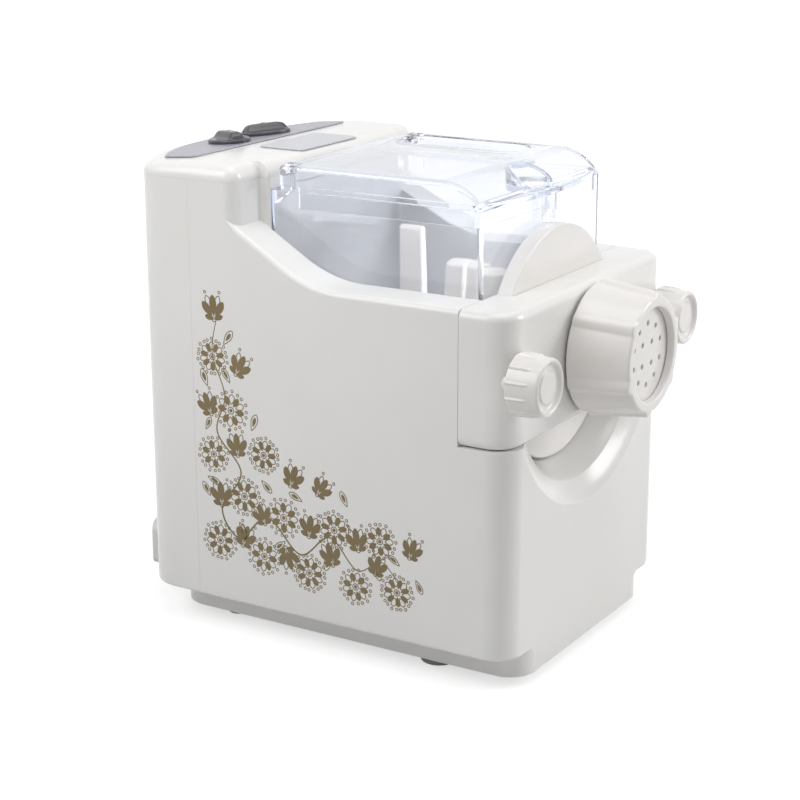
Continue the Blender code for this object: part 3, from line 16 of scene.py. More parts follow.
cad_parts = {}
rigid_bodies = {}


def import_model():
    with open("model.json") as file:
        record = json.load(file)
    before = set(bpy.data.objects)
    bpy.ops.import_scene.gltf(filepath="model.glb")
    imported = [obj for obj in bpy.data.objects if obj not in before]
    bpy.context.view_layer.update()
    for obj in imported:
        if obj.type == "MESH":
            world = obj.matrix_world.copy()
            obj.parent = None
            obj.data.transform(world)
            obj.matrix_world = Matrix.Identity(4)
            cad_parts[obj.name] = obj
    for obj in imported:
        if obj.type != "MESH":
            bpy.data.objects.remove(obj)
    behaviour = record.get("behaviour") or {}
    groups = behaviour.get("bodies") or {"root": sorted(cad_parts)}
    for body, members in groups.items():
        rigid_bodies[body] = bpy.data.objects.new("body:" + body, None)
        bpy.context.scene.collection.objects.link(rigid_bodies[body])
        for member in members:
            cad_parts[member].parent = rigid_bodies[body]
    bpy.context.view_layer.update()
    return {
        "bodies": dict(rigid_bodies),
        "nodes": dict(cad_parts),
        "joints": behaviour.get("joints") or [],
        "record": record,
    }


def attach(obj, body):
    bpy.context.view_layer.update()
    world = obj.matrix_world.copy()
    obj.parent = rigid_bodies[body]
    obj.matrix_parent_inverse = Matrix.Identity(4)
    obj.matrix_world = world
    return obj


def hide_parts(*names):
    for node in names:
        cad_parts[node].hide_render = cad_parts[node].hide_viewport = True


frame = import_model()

# %% [markdown]
# ## Drawing units
# All sizes below are millimetres, as on a maker's drawing, and Y is counted from a plane through
# the mixing tub. The shared frame uses metres and has its origin under the middle of the machine.
# So one function turns drawing points into frame points: subtract the shift, divide by 1000.
# Doing it in one place keeps every other formula free of unit factors.

# %% Drawing units
DRAWING_SHIFT = np.array((0.0, 3.95, 0.0))


def to_frame(points):
    """Drawing millimetres to frame metres: (point - shift) / 1000."""
    return (np.asarray(points, float) - DRAWING_SHIFT) / 1000


# %% [markdown]
# ## Surfaces from grids
# A moulded shell is a function of two parameters: how far round the outline, and how far up or
# across. Blender could draw it with curves or sculpting, but a grid of points worked out with
# numpy is exact, repeatable and easy to make finer. A patch is a pair: its points, and its
# four-sided faces as index rows. Patches that share border points are welded into one closed shell.

# %% Grids and joined patches
def grid(points, close_u=False, close_v=False):
    """Faces over an (n, m, 3) array: each joins (i, j), (i+1, j), (i+1, j+1) and (i, j+1)."""
    n, m = points.shape[:2]
    index = np.arange(n * m).reshape(n, m)
    if close_u:
        index = np.vstack((index, index[:1]))
    if close_v:
        index = np.hstack((index, index[:, :1]))
    corners = (index[:-1, :-1], index[1:, :-1], index[1:, 1:], index[:-1, 1:])
    return points.reshape(-1, 3), np.stack(corners, -1).reshape(-1, 4)


def joined(*patches):
    """Several patches as one: the faces of each count on from the points before it."""
    starts = np.cumsum([0] + [len(points) for points, _ in patches[:-1]])
    return (np.concatenate([points for points, _ in patches]),
            np.concatenate([faces + start for (_, faces), start in zip(patches, starts)]))


def strips(*rows):
    """A grid from rows of points, each (n, 3)."""
    return grid(np.stack(rows))


def capped(rings):
    """A tube over closed rings of points, with one face on each end."""
    points, faces = grid(np.stack(rings), close_v=True)
    count, total = len(rings[0]), len(points)
    ends = [list(range(count)), list(range(total - 1, total - count - 1, -1))]
    return points, faces.tolist() + ends


def pointed(rings):
    """A tube over rings (n, m, 3) that closes to the middle of its first and its last ring."""
    ends = [np.repeat(ring.mean(0)[None], rings.shape[1], 0) for ring in (rings[0], rings[-1])]
    return grid(np.concatenate((ends[:1], rings, ends[1:])), close_v=True)


# %% [markdown]
# ## From a patch to a mesh
# The welded mesh needs faces that point outwards. After doubles are merged and sliver faces are
# dissolved, recalculating the normals of the closed shell gives that. Edges sharper than an angle
# stay crisp, and weighted normals keep the big flat faces flat next to their small round edges.

# %% Meshes and solids
def new_mesh(name, patch):
    """A mesh of a patch with doubles merged, slivers gone and normals outwards."""
    points, faces = patch
    mesh = bpy.data.meshes.new(name)
    faces = faces.tolist() if isinstance(faces, np.ndarray) else faces
    mesh.from_pydata(to_frame(points), [], faces)
    work = bmesh.new()
    work.from_mesh(mesh)
    bmesh.ops.remove_doubles(work, verts=work.verts, dist=2e-6)
    bmesh.ops.dissolve_degenerate(work, dist=1e-6, edges=work.edges)
    bmesh.ops.recalc_face_normals(work, faces=work.faces)
    work.to_mesh(mesh)
    work.free()
    return mesh


def solid(name, patch):
    """An object of a patch, to be finished or used as a cutter."""
    item = bpy.data.objects.new(name, new_mesh(name, patch))
    bpy.context.scene.collection.objects.link(item)
    return item


def combine(item, tools, operation):
    """Apply Booleans to an object, one tool after the other, and remove the tools."""
    for tool in tools:
        step = item.modifiers.new(operation, "BOOLEAN")
        step.operation, step.object, step.solver = operation, tool, "EXACT"
        graph = bpy.context.evaluated_depsgraph_get()
        mesh = bpy.data.meshes.new_from_object(item.evaluated_get(graph))
        item.modifiers.clear()
        item.data = mesh
        bpy.data.objects.remove(tool)
    return item


def cut(item, *tools):
    """Take tools away from an object."""
    return combine(item, tools, "DIFFERENCE")


def add(item, *tools):
    """Fuse tools to an object."""
    return combine(item, tools, "UNION")


# %% [markdown]
# ## Plans and arcs
# Seen from above, the housing is a rectangle with round front corners and a rear bowed outwards.
# An arc's offset is an arc about the same centre, so a wall or a fillet needs only another inset
# of the same plan, point by point.

# %% Arcs and plans
def arc(center, radius, start, end, steps):
    """Points center + radius (cos a, sin a) for a from start to end in degrees."""
    a = np.radians(np.linspace(start, end, steps + 1))
    return np.stack((center[0] + radius * np.cos(a), center[1] + radius * np.sin(a)), -1)


HALF = 97.0
FRONT, REAR, REAR_SEAM, HEAD_SEAM = -112.5, 158.0, 92.0, -81.6
BOW_CENTER, BOW_RADIUS, REAR_CORNER = 8.0, 150.0, 20.0
FRONT_CORNER, TOWER_CORNER, TOWER_FRONT = 16.0, 8.0, 60.5
MIDDLE_HALF, MIDDLE_FRONT = 70.8, 55.4
SKIRT_HALF, STEP_INSET = 79.0, 18.0
TOWER_TURN = TOWER_FRONT + TOWER_CORNER


def half_plan(half, front, corner, rear_corner, bow, side_y):
    """Right half of a plan from the front's middle to the rear's middle, as (n, 2) points.

    It goes along the front, round the corner arc, up the side at the shares of its length in
    side_y, round the rear corner and along the bow.
    """
    corner_x = half - rear_corner
    corner_y = BOW_CENTER + math.sqrt((bow - rear_corner) ** 2 - corner_x ** 2)
    meet = math.degrees(math.atan2(corner_y - BOW_CENTER, corner_x))
    low = front + corner
    side = np.stack((np.full(len(side_y), half), low + side_y * (corner_y - low)), -1)
    return np.concatenate(([(0, front)], arc((half - corner, low), corner, -90, 0, 14), side,
                           arc((corner_x, corner_y), rear_corner, 0, meet, 12),
                           arc((0, BOW_CENTER), bow, meet, 90, 24)[1:]))


def side_shares(values, front, corner):
    """Y values on the body's side as shares of its length, so that other plans can follow them."""
    low = front + corner
    high = BOW_CENTER + math.sqrt((BOW_RADIUS - REAR_CORNER) ** 2 - (HALF - REAR_CORNER) ** 2)
    return (np.asarray(values) - low) / (high - low)


def mirrored(half_line):
    """A closed loop from its right half: the half, then its mirror image backwards."""
    left = half_line[-2:0:-1] * (-1, 1)
    return np.concatenate((half_line, left))


def at_height(loop, z):
    """Plan points (n, 2) with a height, which may differ from point to point."""
    return np.column_stack((loop, np.broadcast_to(z, len(loop))))


def to_spine(ring):
    """Each point moved to the middle line X = 0 at its own Y and height."""
    return ring * (0.0, 1, 1)


def loop_normals(loop):
    """Unit normals of a closed outline: square to the line through each point's neighbours."""
    along = np.roll(loop, -1, 0) - np.roll(loop, 1, 0)
    normal = np.stack((-along[:, 1], along[:, 0]), -1)
    return normal / np.maximum(np.linalg.norm(normal, axis=1, keepdims=True), 1e-9)


# %% [markdown]
# ## The main housing
# The housing is white ABS, moulded in a polished tool, so its walls are even and glossy and every
# outer edge has a small round. In the side view the ledge beside the tub is level, then rises in a
# hollow curve to the tower. Low down the wall steps in to a narrow skirt, which leaves a dark
# line of shade on the table. A box with bevels would lose these curves, so the wall is a grid:
# one column per plan point, and rows that climb the skirt, the step's two rounds and the wall.

# %% The side outline
LEDGE, SLOPE_START, SLOPE_RADIUS, SLOPE_ANGLE = 215.0, -8.0, 74.0, 31.0
HEAD_BOTTOM, AXIS, HOUSING_TOP = 140.6, 178.0, 268.1
STEP_TOP, STEP_ROUND, STEP_HOLLOW, FLOOR = 21.5, 2.2, 5.0, 5.6
LEDGE_ROUND, WALL_LEVELS, WALL_END = 3.0, (28.5, 60, 100, HEAD_BOTTOM, AXIS, 205), 205.2


def ledge_height(y):
    """Height of the ledge: level, then an arc of the slope's radius, then straight at its angle."""
    angle = np.radians(SLOPE_ANGLE)
    bend_end = SLOPE_START + SLOPE_RADIUS * np.sin(angle)
    on_arc = np.clip((y - SLOPE_START) / SLOPE_RADIUS, 0, np.sin(angle))
    start = LEDGE + SLOPE_RADIUS * (1 - np.sqrt(1 - on_arc ** 2))
    return start + np.maximum(y - bend_end, 0) * np.tan(angle)


def edge_round(y):
    """Radius of the ledge's outer edge: 3 mm, fading to nothing at the tower's corner."""
    down = np.clip((TOWER_TURN - y) / TOWER_CORNER, 0, 1)
    room = TOWER_CORNER * (1 - np.sqrt(1 - down ** 2))
    return np.minimum(LEDGE_ROUND, 0.6 * room)


turn_y = TOWER_TURN - TOWER_CORNER * np.sin(np.radians(np.linspace(90, 0, 13)))
side_y = np.concatenate((np.linspace(FRONT + FRONT_CORNER, HEAD_SEAM, 3)[1:], [-60, -35, -16],
                         np.linspace(SLOPE_START, 30.1, 15), [36, 43, 50, MIDDLE_FRONT],
                         turn_y, [74, 80, REAR_SEAM - 1, REAR_SEAM + 1, 105]))
shares = side_shares(side_y, FRONT, FRONT_CORNER)
body_half = half_plan(HALF, FRONT, FRONT_CORNER, REAR_CORNER, BOW_RADIUS, shares)
skirt_half = half_plan(SKIRT_HALF, FRONT, FRONT_CORNER, REAR_CORNER, BOW_RADIUS - STEP_INSET,
                       shares)
print("columns round the housing:", len(mirrored(body_half)))


# %% The wall and its step
def plan_inset(inset, front, corner, y_shares=(), half=HALF, bow=BOW_RADIUS):
    """The closed plan moved inwards: every arc keeps its centre and loses the inset.

    A front corner stays at least 0.3 mm. Without shares the sides are plain.
    """
    corner = max(corner - inset, 0.3)
    return mirrored(half_plan(half - inset, front + inset, corner, REAR_CORNER - inset,
                              bow - inset, np.asarray(y_shares, float)))


def wall_rows():
    """Rows of the wall, bottom up: skirt, hollow round, step, outer round, wall to the ledge.

    A row between skirt and body is a blend of their plans by inset / 18, so in front, where both
    are flush, the step fades away.
    """
    body, skirt = mirrored(body_half), mirrored(skirt_half)
    levels = [(STEP_INSET, FLOOR), (STEP_INSET, STEP_TOP - STEP_HOLLOW - 0.5)]
    levels += [(STEP_INSET - STEP_HOLLOW * (1 - np.cos(a)), STEP_TOP - STEP_HOLLOW * (1 - np.sin(a)))
               for a in np.radians(np.linspace(0, 90, 6))]
    levels += [(STEP_ROUND * (1 - np.sin(a)), STEP_TOP + STEP_ROUND * (1 - np.cos(a)))
               for a in np.radians(np.linspace(0, 90, 7))]
    rows = [at_height(body + (skirt - body) * inset / STEP_INSET, z) for inset, z in levels]
    y = body[:, 1]
    crown = np.where(y <= TOWER_TURN, ledge_height(y), ledge_height(TOWER_TURN))
    top = crown - edge_round(y) * (y <= TOWER_TURN)
    rows += [at_height(body, z) for z in WALL_LEVELS]
    return rows + [at_height(body, np.maximum(top - 0.6, WALL_END)), at_height(body, top)]


def housing_block():
    """The closed outer block of both housings, from the skirt to the tower's top."""
    rows = wall_rows()
    body = mirrored(body_half)
    off_side = 1e3 * (body_half[:, 0] < HALF - 0.01)
    tower_from = int(np.argmin(abs(body_half[:, 1] - TOWER_TURN) + off_side))
    patches = [grid(np.stack(lines), close_v=True) for lines in (rows, (rows[0], to_spine(rows[0])))]
    behind = np.arange(tower_from, len(body) - tower_from + 1)
    levels = np.linspace(ledge_height(TOWER_TURN), HOUSING_TOP, 3)
    patches.append(strips(*[at_height(body[behind], z) for z in levels]))
    for side in (1, -1):
        half = body_half[:tower_from + 1]
        y = half[:, 1]
        radius = edge_round(y)[:, None]
        crown = ledge_height(y)
        outer = at_height(half, crown)
        inner_half = plan_inset(LEDGE_ROUND, FRONT, FRONT_CORNER, shares)[:tower_from + 1]
        inner_half[:, 1] = np.where(half[:, 0] > HALF - 0.01, half[:, 1], inner_half[:, 1])
        pull = (at_height(inner_half, crown) - outer) * radius / LEDGE_ROUND
        fall = np.array((0, 0, 1)) * radius
        fillet = [outer + pull * (1 - np.cos(a)) - fall * (1 - np.sin(a))
                  for a in np.radians(np.linspace(0, 90, 6))]
        edge = fillet[-1]
        flat = y <= TOWER_FRONT + 0.001
        mid = edge.copy()
        mid[:, 0] = np.minimum(HALF - TOWER_CORNER, edge[:, 0] * 0.9)
        ramp = y >= TOWER_FRONT - 0.001
        drop = np.clip((TOWER_TURN - y[ramp]) / TOWER_CORNER, 0, 1)
        tower_x = HALF - TOWER_CORNER + TOWER_CORNER * np.sqrt(1 - drop ** 2)
        foot = np.column_stack((tower_x, y[ramp], crown[ramp]))
        lift = [foot + (0, 0, 1) * (HOUSING_TOP - foot[:, 2:]) * t for t in (0, 0.5, 1)]
        sheets = (fillet, [row[flat] for row in (edge, mid, to_spine(edge))], (edge[ramp], foot), lift,
                  [np.stack((row[0], to_spine(row[0]))) for row in lift],
                  (lift[-1], to_spine(lift[-1])))
        patches += [strips(*[row * (side, 1, 1) for row in lines]) for lines in sheets]
    roof = at_height(body[behind], HOUSING_TOP)
    patches.append(strips(roof, to_spine(roof)))
    return solid("housing_block", joined(*patches))


# %% [markdown]
# The rooms inside are cut out of the block: the round-bottomed bay for the tub, the dish in front
# round the head's disc, the machine room in the tower and the hollow between the skirts. Then the
# block is parted at the upright seam, which leaves a joint of 0.1 mm, seen as a fine dark line.

# %% Prisms and turned shapes
def prism(outline, low, high, along):
    """An outline carried straight along X, Y or Z from low to high, with one face on each end.

    The outline's two numbers are Y and Z for X, X and Z for Y, and X and Y for Z.
    """
    outline = np.asarray(outline, float)
    order = {"X": (2, 0, 1), "Y": (0, 2, 1), "Z": (0, 1, 2)}[along]
    return capped([at_height(outline, level)[:, order] for level in (low, high)])


def block(low, high):
    """A box between two corners."""
    outline = [(low[0], low[1]), (high[0], low[1]), (high[0], high[1]), (low[0], high[1])]
    return prism(outline, low[2], high[2], "Z")


def turned(profile, center, axis="Y", steps=96, closed=False):
    """A profile of (radius, place along the axis) turned about Y or Z.

    Point (i, a) is center + r_i (cos a, sin a) square to the axis, with the place along it. A
    closed profile returns to its first point, as for a piece with a hole along its axis.
    """
    profile = np.asarray(profile, float)
    a = np.linspace(0, 2 * np.pi, steps, endpoint=False)
    across, up = np.outer(profile[:, 0], np.cos(a)), np.outer(profile[:, 0], np.sin(a))
    along = np.repeat(profile[:, 1:], steps, 1)
    stack = (across, along, up) if axis == "Y" else (across, up, along)
    return grid(np.stack(stack, -1) + np.asarray(center, float), close_u=closed, close_v=True)


def rod(radius, low, high, center, axis="Y", steps=48):
    """A plain cylinder, closed at both ends."""
    return turned([(0, low), (radius, low), (radius, high), (0, high)], center, axis, steps)


# %% The housing's two shells
def bay_outline(half, top):
    """The tub bay across: a half circle about the extrusion axis under straight sides."""
    return np.concatenate((arc((0, AXIS), half, 180, 360, 64), [(half, top), (-half, top)]))


def dish_line():
    """Profile of the dish: a flared mouth that curves down to a crisp edge, a cone and a floor."""
    radius = np.linspace(95.5, 76.5, 22)
    depth = -1.0 + 8.0 * ((95.5 - radius) / 19.0) ** 1.8
    return np.concatenate(([(0, FRONT - 1)], np.stack((radius, FRONT + depth), -1),
                           [(68.5, -91.2), (68.5, -80.6), (0, -80.6)]))


WALL, GAP, SEAM_GAP, CORD_BORE = 2.6, 0.3, 0.1, 3.6
INLET = (-64.0, 34.0)
hollow = plan_inset(WALL, TOWER_FRONT, TOWER_CORNER)
skirt_hollow = plan_inset(WALL, FRONT, FRONT_CORNER, half=SKIRT_HALF, bow=BOW_RADIUS - STEP_INSET)


def middle_plan():
    """Plan of the tower's middle, which stands forward between the shoulders to the tub."""
    outer = MIDDLE_HALF + 2.5
    right = np.concatenate((arc((MIDDLE_HALF - 2, MIDDLE_FRONT + 2), 2, -90, 0, 6),
                            arc((outer, TOWER_FRONT - 2.4), 2.5, 180, 90, 6), [(outer, 66)]))
    return np.concatenate((right, right[::-1] * (-1, 1)))


whole = housing_block()
add(whole, solid("tower_middle", prism(middle_plan(), 225, HOUSING_TOP, "Z")))
cut(whole,
    solid("machine_room", prism(hollow, 24.1, 280, "Z")),
    solid("skirt_room", prism(skirt_hollow, 0, 24.2, "Z")),
    solid("belly", block((-94.4, -78, 24.1), (94.4, 57.8, 104))),
    solid("left_pocket", block((-94.4, -56, 104.2), (-74, 57.8, 212.4))),
    solid("right_pocket", block((74, -56, 104.2), (94.4, 57.8, 212.4))),
    solid("gear_room", block((-94.4, 57.7, 24.1), (94.4, 66, 212.3))),
    solid("gear_room_top", block((-58, 57.6, 212.2), (58, 66.1, 236.4))),
    solid("bay", prism(bay_outline(71.4, 300), HEAD_SEAM - 1, MIDDLE_FRONT - 0.1, "Y")),
    solid("head_room", block((-120, -130, HEAD_BOTTOM - GAP), (120, HEAD_SEAM, 300))),
    solid("dish", turned(dish_line(), (0, 0, AXIS), steps=160)),
    solid("shaft_hole", rod(10.3, 40, 64, (0, 0, AXIS))),
    solid("lay_hole", rod(7.3, 56.7, 64, (0, 0, 118))))
rear_half = whole.copy()
rear_half.data = whole.data.copy()
bpy.context.scene.collection.objects.link(rear_half)
main_back, rear_front = REAR_SEAM - SEAM_GAP / 2, REAR_SEAM + SEAM_GAP / 2
main_shell = cut(whole, solid("behind_seam", block((-120, main_back, -10), (120, 200, 300))))
rear_shell = cut(rear_half, solid("before_seam", block((-120, -150, -10), (120, rear_front, 300))),
                 solid("inlet_hole", rod(CORD_BORE, 120, 180, (INLET[0], 0, INLET[1]))))
print("main shell faces:", len(main_shell.data.polygons))
print("rear shell faces:", len(rear_shell.data.polygons))

# %% [markdown]
# ## Finishes
# Each finish is a small tree of nodes on the Principled shader. One function turns the hex value
# that a paint chart gives into the linear numbers that Blender wants, and one small function adds
# a node with its settings and links. Patterns are made by noise in Object coordinates, with their
# scale worked out from millimetres, so that they stay put on the piece when it moves.

# %% Colours and nodes
def linear(hex_colour):
    """sRGB hex to linear: c / 12.92 for dark values, ((c + 0.055) / 1.055) ** 2.4 above."""
    c = np.array([int(hex_colour[i:i + 2], 16) for i in (1, 3, 5)]) / 255
    return (*np.where(c <= 0.04045, c / 12.92, ((c + 0.055) / 1.055) ** 2.4), 1.0)


def add_node(tree, kind, links=(), values=(), **settings):
    """Add a node: settings are its properties, values and links go to its inputs."""
    item = tree.nodes.new(kind)
    for name, value in settings.items():
        setattr(item, name, value)
    for name, value in dict(values).items():
        item.inputs[name].default_value = value
    for name, socket in dict(links).items():
        tree.links.new(socket, item.inputs[name])
    return item


def per_mm(size):
    """Noise scale for features of this many millimetres in Object coordinates, which are metres."""
    return 1000.0 / size


def finish_tree(name, **values):
    """A new material: its tree, its Principled shader with set values, and Object coordinates."""
    material = bpy.data.materials.new(name)
    material.use_nodes = True
    tree = material.node_tree
    shader = tree.nodes["Principled BSDF"]
    for key, value in values.items():
        shader.inputs[key.replace("_", " ").title().replace("Ior", "IOR")].default_value = value
    place = add_node(tree, "ShaderNodeTexCoord").outputs["Object"]
    return material, tree, shader, place


def noise(tree, place, size, detail=2.0, rough=0.5):
    """Smooth noise with features of a size in millimetres."""
    return add_node(tree, "ShaderNodeTexNoise", {"Vector": place},
                    {"Scale": per_mm(size), "Detail": detail, "Roughness": rough}).outputs["Fac"]


def ramp(tree, value, low, high, from_low=0.3, from_high=0.7):
    """A value between from_low and from_high moved to between low and high."""
    ends = {"From Min": from_low, "From Max": from_high, "To Min": low, "To Max": high}
    return add_node(tree, "ShaderNodeMapRange", {"Value": value}, ends).outputs["Result"]


def two_shades(tree, shader, value, colour, other):
    """Base colour that drifts between two near shades with a value."""
    mix = add_node(tree, "ShaderNodeMix", {"Factor": ramp(tree, value, 0, 1)}, data_type="RGBA")
    mix.inputs["A"].default_value, mix.inputs["B"].default_value = linear(colour), linear(other)
    tree.links.new(mix.outputs["Result"], shader.inputs["Base Color"])


def larger(tree, first, second):
    """The larger of two values."""
    return add_node(tree, "ShaderNodeMath", {0: first, 1: second}, operation="MAXIMUM").outputs[0]


def moulded(name, colour, other, roughness=0.25, spread=0.04, ripple=0.012, grain=0.0, **values):
    """An injection-moulded plastic.

    Colour drifts between two near shades over 40 mm, as resin does as it flows. Roughness drifts
    over 15 mm, as a polished tool's finish does. The bump is a slow ripple of the surface, and
    where grain isn't 0 also a fine spark-eroded grain of 0.8 mm.
    """
    material, tree, shader, place = finish_tree(name, **values)
    two_shades(tree, shader, noise(tree, place, 40), colour, other)
    rough = ramp(tree, noise(tree, place, 15, 3.0), roughness - spread, roughness + spread)
    tree.links.new(rough, shader.inputs["Roughness"])
    height = noise(tree, place, 22, 1.0)
    bump = add_node(tree, "ShaderNodeBump", {"Height": height},
                    {"Strength": 0.4, "Distance": ripple / 1000})
    if grain:
        fine = {"Height": noise(tree, place, 0.8, 3.0), "Normal": bump.outputs["Normal"]}
        bump = add_node(tree, "ShaderNodeBump", fine, {"Strength": 0.6, "Distance": grain / 1000})
    tree.links.new(bump.outputs["Normal"], shader.inputs["Normal"])
    return material


# White ABS from a polished tool: clean white with a soft gloss.
white_abs = moulded("gloss_white_abs", "#f2f1ef", "#f0efec", 0.21, ior=1.54)
# Warm white ABS of the nut, knobs and paddle: a little creamier.
warm_abs = moulded("warm_white_abs", "#f2efec", "#efece8", 0.22, ior=1.54)


# %% [markdown]
# ## Putting a piece on its body
# A finished piece gets its material, smooth shading with crisp edges, and the body it rides on. It
# stands for its CAD nodes, which are then hidden but still do the collisions.

# %% Dressing helper
def dress(item, name, body, nodes, material, angle=32.0, weighted=True):
    """Name, shade, paint and mount a finished piece."""
    item.name = item.data.name = name
    item.data.materials.clear()
    item.data.materials.append(material)
    item.data.shade_smooth()
    item.data.set_sharp_from_angle(angle=math.radians(angle))
    if weighted:
        step = item.modifiers.new("even_shading", "WEIGHTED_NORMAL")
        step.keep_sharp, step.weight = True, 60
    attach(item, body)
    if nodes:
        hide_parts(*nodes)
    return item


dress(main_shell, "housing_shell", "housing", ["main_housing"], white_abs)
dress(rear_shell, "rear_shell", "housing", ["rear_housing"], white_abs)

# %% [markdown]
# ## The top cover
# The tower's lid-like cap is moulded on its own and snapped on. Its upper edge has a generous soft
# round of 7.4 mm, and its rear half falls by 5 degrees. The rings of the plan move inwards along
# a quarter circle as they rise. Under it more rings, a wall further in, make it a shell. Its
# middle stands forward to the tub, and two pockets make room for the switches.

# %% Top cover
TOP, COVER_BASE, COVER_ROUND, FALL_FROM, FALL = 276.8, 268.16, 7.4, 100.0, 5.0


def top_height(y):
    """Height of the cover's top: level, then falling behind FALL_FROM."""
    return TOP - np.maximum(y - FALL_FROM, 0) * math.tan(math.radians(FALL))


tower_shares = side_shares([80, 92, FALL_FROM, 106], TOWER_FRONT, TOWER_CORNER)


def tower_ring(inset, rise, drop=0.0):
    """The tower's plan moved inwards, at a share of the way from the seam to the top."""
    loop = plan_inset(inset, TOWER_FRONT, TOWER_CORNER, tower_shares)
    start = COVER_BASE + 0.3
    return at_height(loop, start + (top_height(loop[:, 1]) - drop - start) * rise)


def cover_patch():
    """Rings from the roof down the inner wall, out under the rim and over the outer round."""
    roof = tower_ring(WALL * 2, 1, WALL)
    rings = [to_spine(roof), roof]
    rings += [at_height(plan_inset(inset, TOWER_FRONT, TOWER_CORNER, tower_shares), COVER_BASE)
              for inset in (WALL * 2, 0)]
    rings += [tower_ring(COVER_ROUND * (1 - np.cos(a)), np.sin(a))
              for a in np.radians(np.linspace(0, 90, 13))]
    rings.append(tower_ring(COVER_ROUND + 0.6, 1))
    rings.append(to_spine(rings[-1]))
    return grid(np.stack(rings), close_v=True)


def on_slope(points):
    """Points (x, y along the slope from FALL_FROM, height over it) laid on the falling top."""
    points = np.asarray(points, float)
    a = math.radians(-FALL)
    y = points[:, 1] * math.cos(a) - points[:, 2] * math.sin(a)
    z = points[:, 1] * math.sin(a) + points[:, 2] * math.cos(a)
    return np.column_stack((points[:, 0], FALL_FROM + y, TOP + z))


SWITCH_X, SWITCH_DROP = 18.5, 19.84


def neck_holes():
    """Cutters for the necks of the two switches, square to the falling top."""
    tools = []
    for x in (-SWITCH_X, SWITCH_X):
        points, faces = turned([(0, -12), (4.9, -12), (4.9, 8), (0, 8)], (x, SWITCH_DROP, 0), "Z", 32)
        tools.append(solid("neck_hole", (on_slope(points), faces)))
    return tools


def brow_outline():
    """Side view of the cover's middle: it stands forward as the tower does, with the same round."""
    bend = arc((MIDDLE_FRONT + COVER_ROUND, TOP - COVER_ROUND), COVER_ROUND, 180, 90, 12)
    return np.concatenate(([(76, COVER_BASE), (MIDDLE_FRONT, COVER_BASE)], bend, [(76, TOP - 0.01)]))


cover = cut(solid("cover", cover_patch()), *neck_holes())
add(cover, solid("brow", prism(brow_outline(), -MIDDLE_HALF, MIDDLE_HALF, "X")))
for x in (-SWITCH_X, SWITCH_X):
    points, faces = block((x - 14, 3.5, -16), (x + 14, 34.5, -1.3))
    cut(cover, solid("body_pocket", (on_slope(points), faces)))
dress(cover, "tower_cover", "housing", ["top_cover"], white_abs)
print("cover faces:", len(cover.data.polygons))

# %% [markdown]
# ## The control panel and the label plate
# The panel is a crescent of silver-grey sheet between a straight front edge and the bow of the
# rear. The label plate in front of it is bare foil. Thin sheets catch the light along their
# edges, so both get a tiny round there.

# %% Panel and plate
def sheet_patch(outline, thickness, edge, lay):
    """A flat sheet: its outline at the base, straight up, then inwards round a small edge.

    Every ring is the outline moved inwards by the ring's inset; lay puts it in place.
    """
    outline = np.asarray(outline, float)
    normal = loop_normals(outline)
    levels = [(0, 0), (0, thickness - edge)]
    levels += [(edge * (1 - np.cos(a)), thickness - edge * (1 - np.sin(a)))
               for a in np.radians((30, 60, 90))]
    return capped([lay(at_height(outline + normal * inset, z)) for inset, z in levels])


def crescent_line():
    """The crescent: a straight front edge with small corners and an arc behind it."""
    half, radius, center = 79.0, 138.0, BOW_CENTER - FALL_FROM
    end = math.degrees(math.atan2(math.sqrt(radius ** 2 - half ** 2), half))
    right = arc((half - 3, 4), 3, -90, 0, 6)
    back = arc((0, center), radius, end, 180 - end, 64)
    return np.concatenate((right, back, arc((3 - half, 4), 3, 180, 270, 6)))


def round_box(width, depth, corner, center=(0, 0), steps=6):
    """Outline of a rectangle with round corners."""
    x, y = width / 2 - corner, depth / 2 - corner
    turns = ((x, -y, -90), (x, y, 0), (-x, y, 90), (-x, -y, 180))
    return np.concatenate([arc((center[0] + a, center[1] + b), corner, start, start + 90, steps)
                           for a, b, start in turns])


panel = solid("panel", sheet_patch(crescent_line(), 0.9, 0.3, lambda p: on_slope(p + (0, 0, 0.3))))
cut(panel, *neck_holes())
plate = solid("plate", sheet_patch(round_box(59, 30, 2, (0, 75.5)), 0.8, 0.25,
                                   lambda p: p + (0, 0, TOP + 0.3)))


def brushed(name, colour, other, rough, spacing, along_x=True, **values):
    """Rolled sheet: fine lines along one direction, drawn as noise stretched 40 times that way."""
    material, tree, shader, place = finish_tree(name, **values)
    stretch = (1, 40, 1) if along_x else (40, 1, 1)
    lines = add_node(tree, "ShaderNodeMapping", {"Vector": place}, {"Scale": stretch})
    value = noise(tree, lines.outputs["Vector"], spacing * 40, 3.0)
    two_shades(tree, shader, value, colour, other)
    tree.links.new(ramp(tree, value, rough - 0.05, rough + 0.06), shader.inputs["Roughness"])
    return material


# Silver-grey lacquered sheet: darker than the plastic, a little metallic, with rolling lines.
panel_lacquer = brushed("silver_grey_lacquer", "#a3a2ac", "#aaa9b2", 0.34, 0.5, metallic=0.35)
# Bare label foil: pale, satin, cool.
label_foil = brushed("label_foil", "#c8cad0", "#cfd1d6", 0.35, 0.4, metallic=0.3)
dress(panel, "panel_crescent", "housing", ["control_panel"], panel_lacquer)
dress(plate, "label_sheet", "housing", ["label_plate"], label_foil)

# %% [markdown]
# ## The front head
# The head is a bar that wraps the front between its two clamp knobs. Its plan is the housing's
# front, closed by a flat back at the seam, and its upper and lower edges have a round of 5 mm.
# A hole lets the barrel through, and a round room behind holds the disc.

# %% Front head
HEAD_BACK, HEAD_ROUND, CLAMP_X = -81.9, 5.0, 88.0


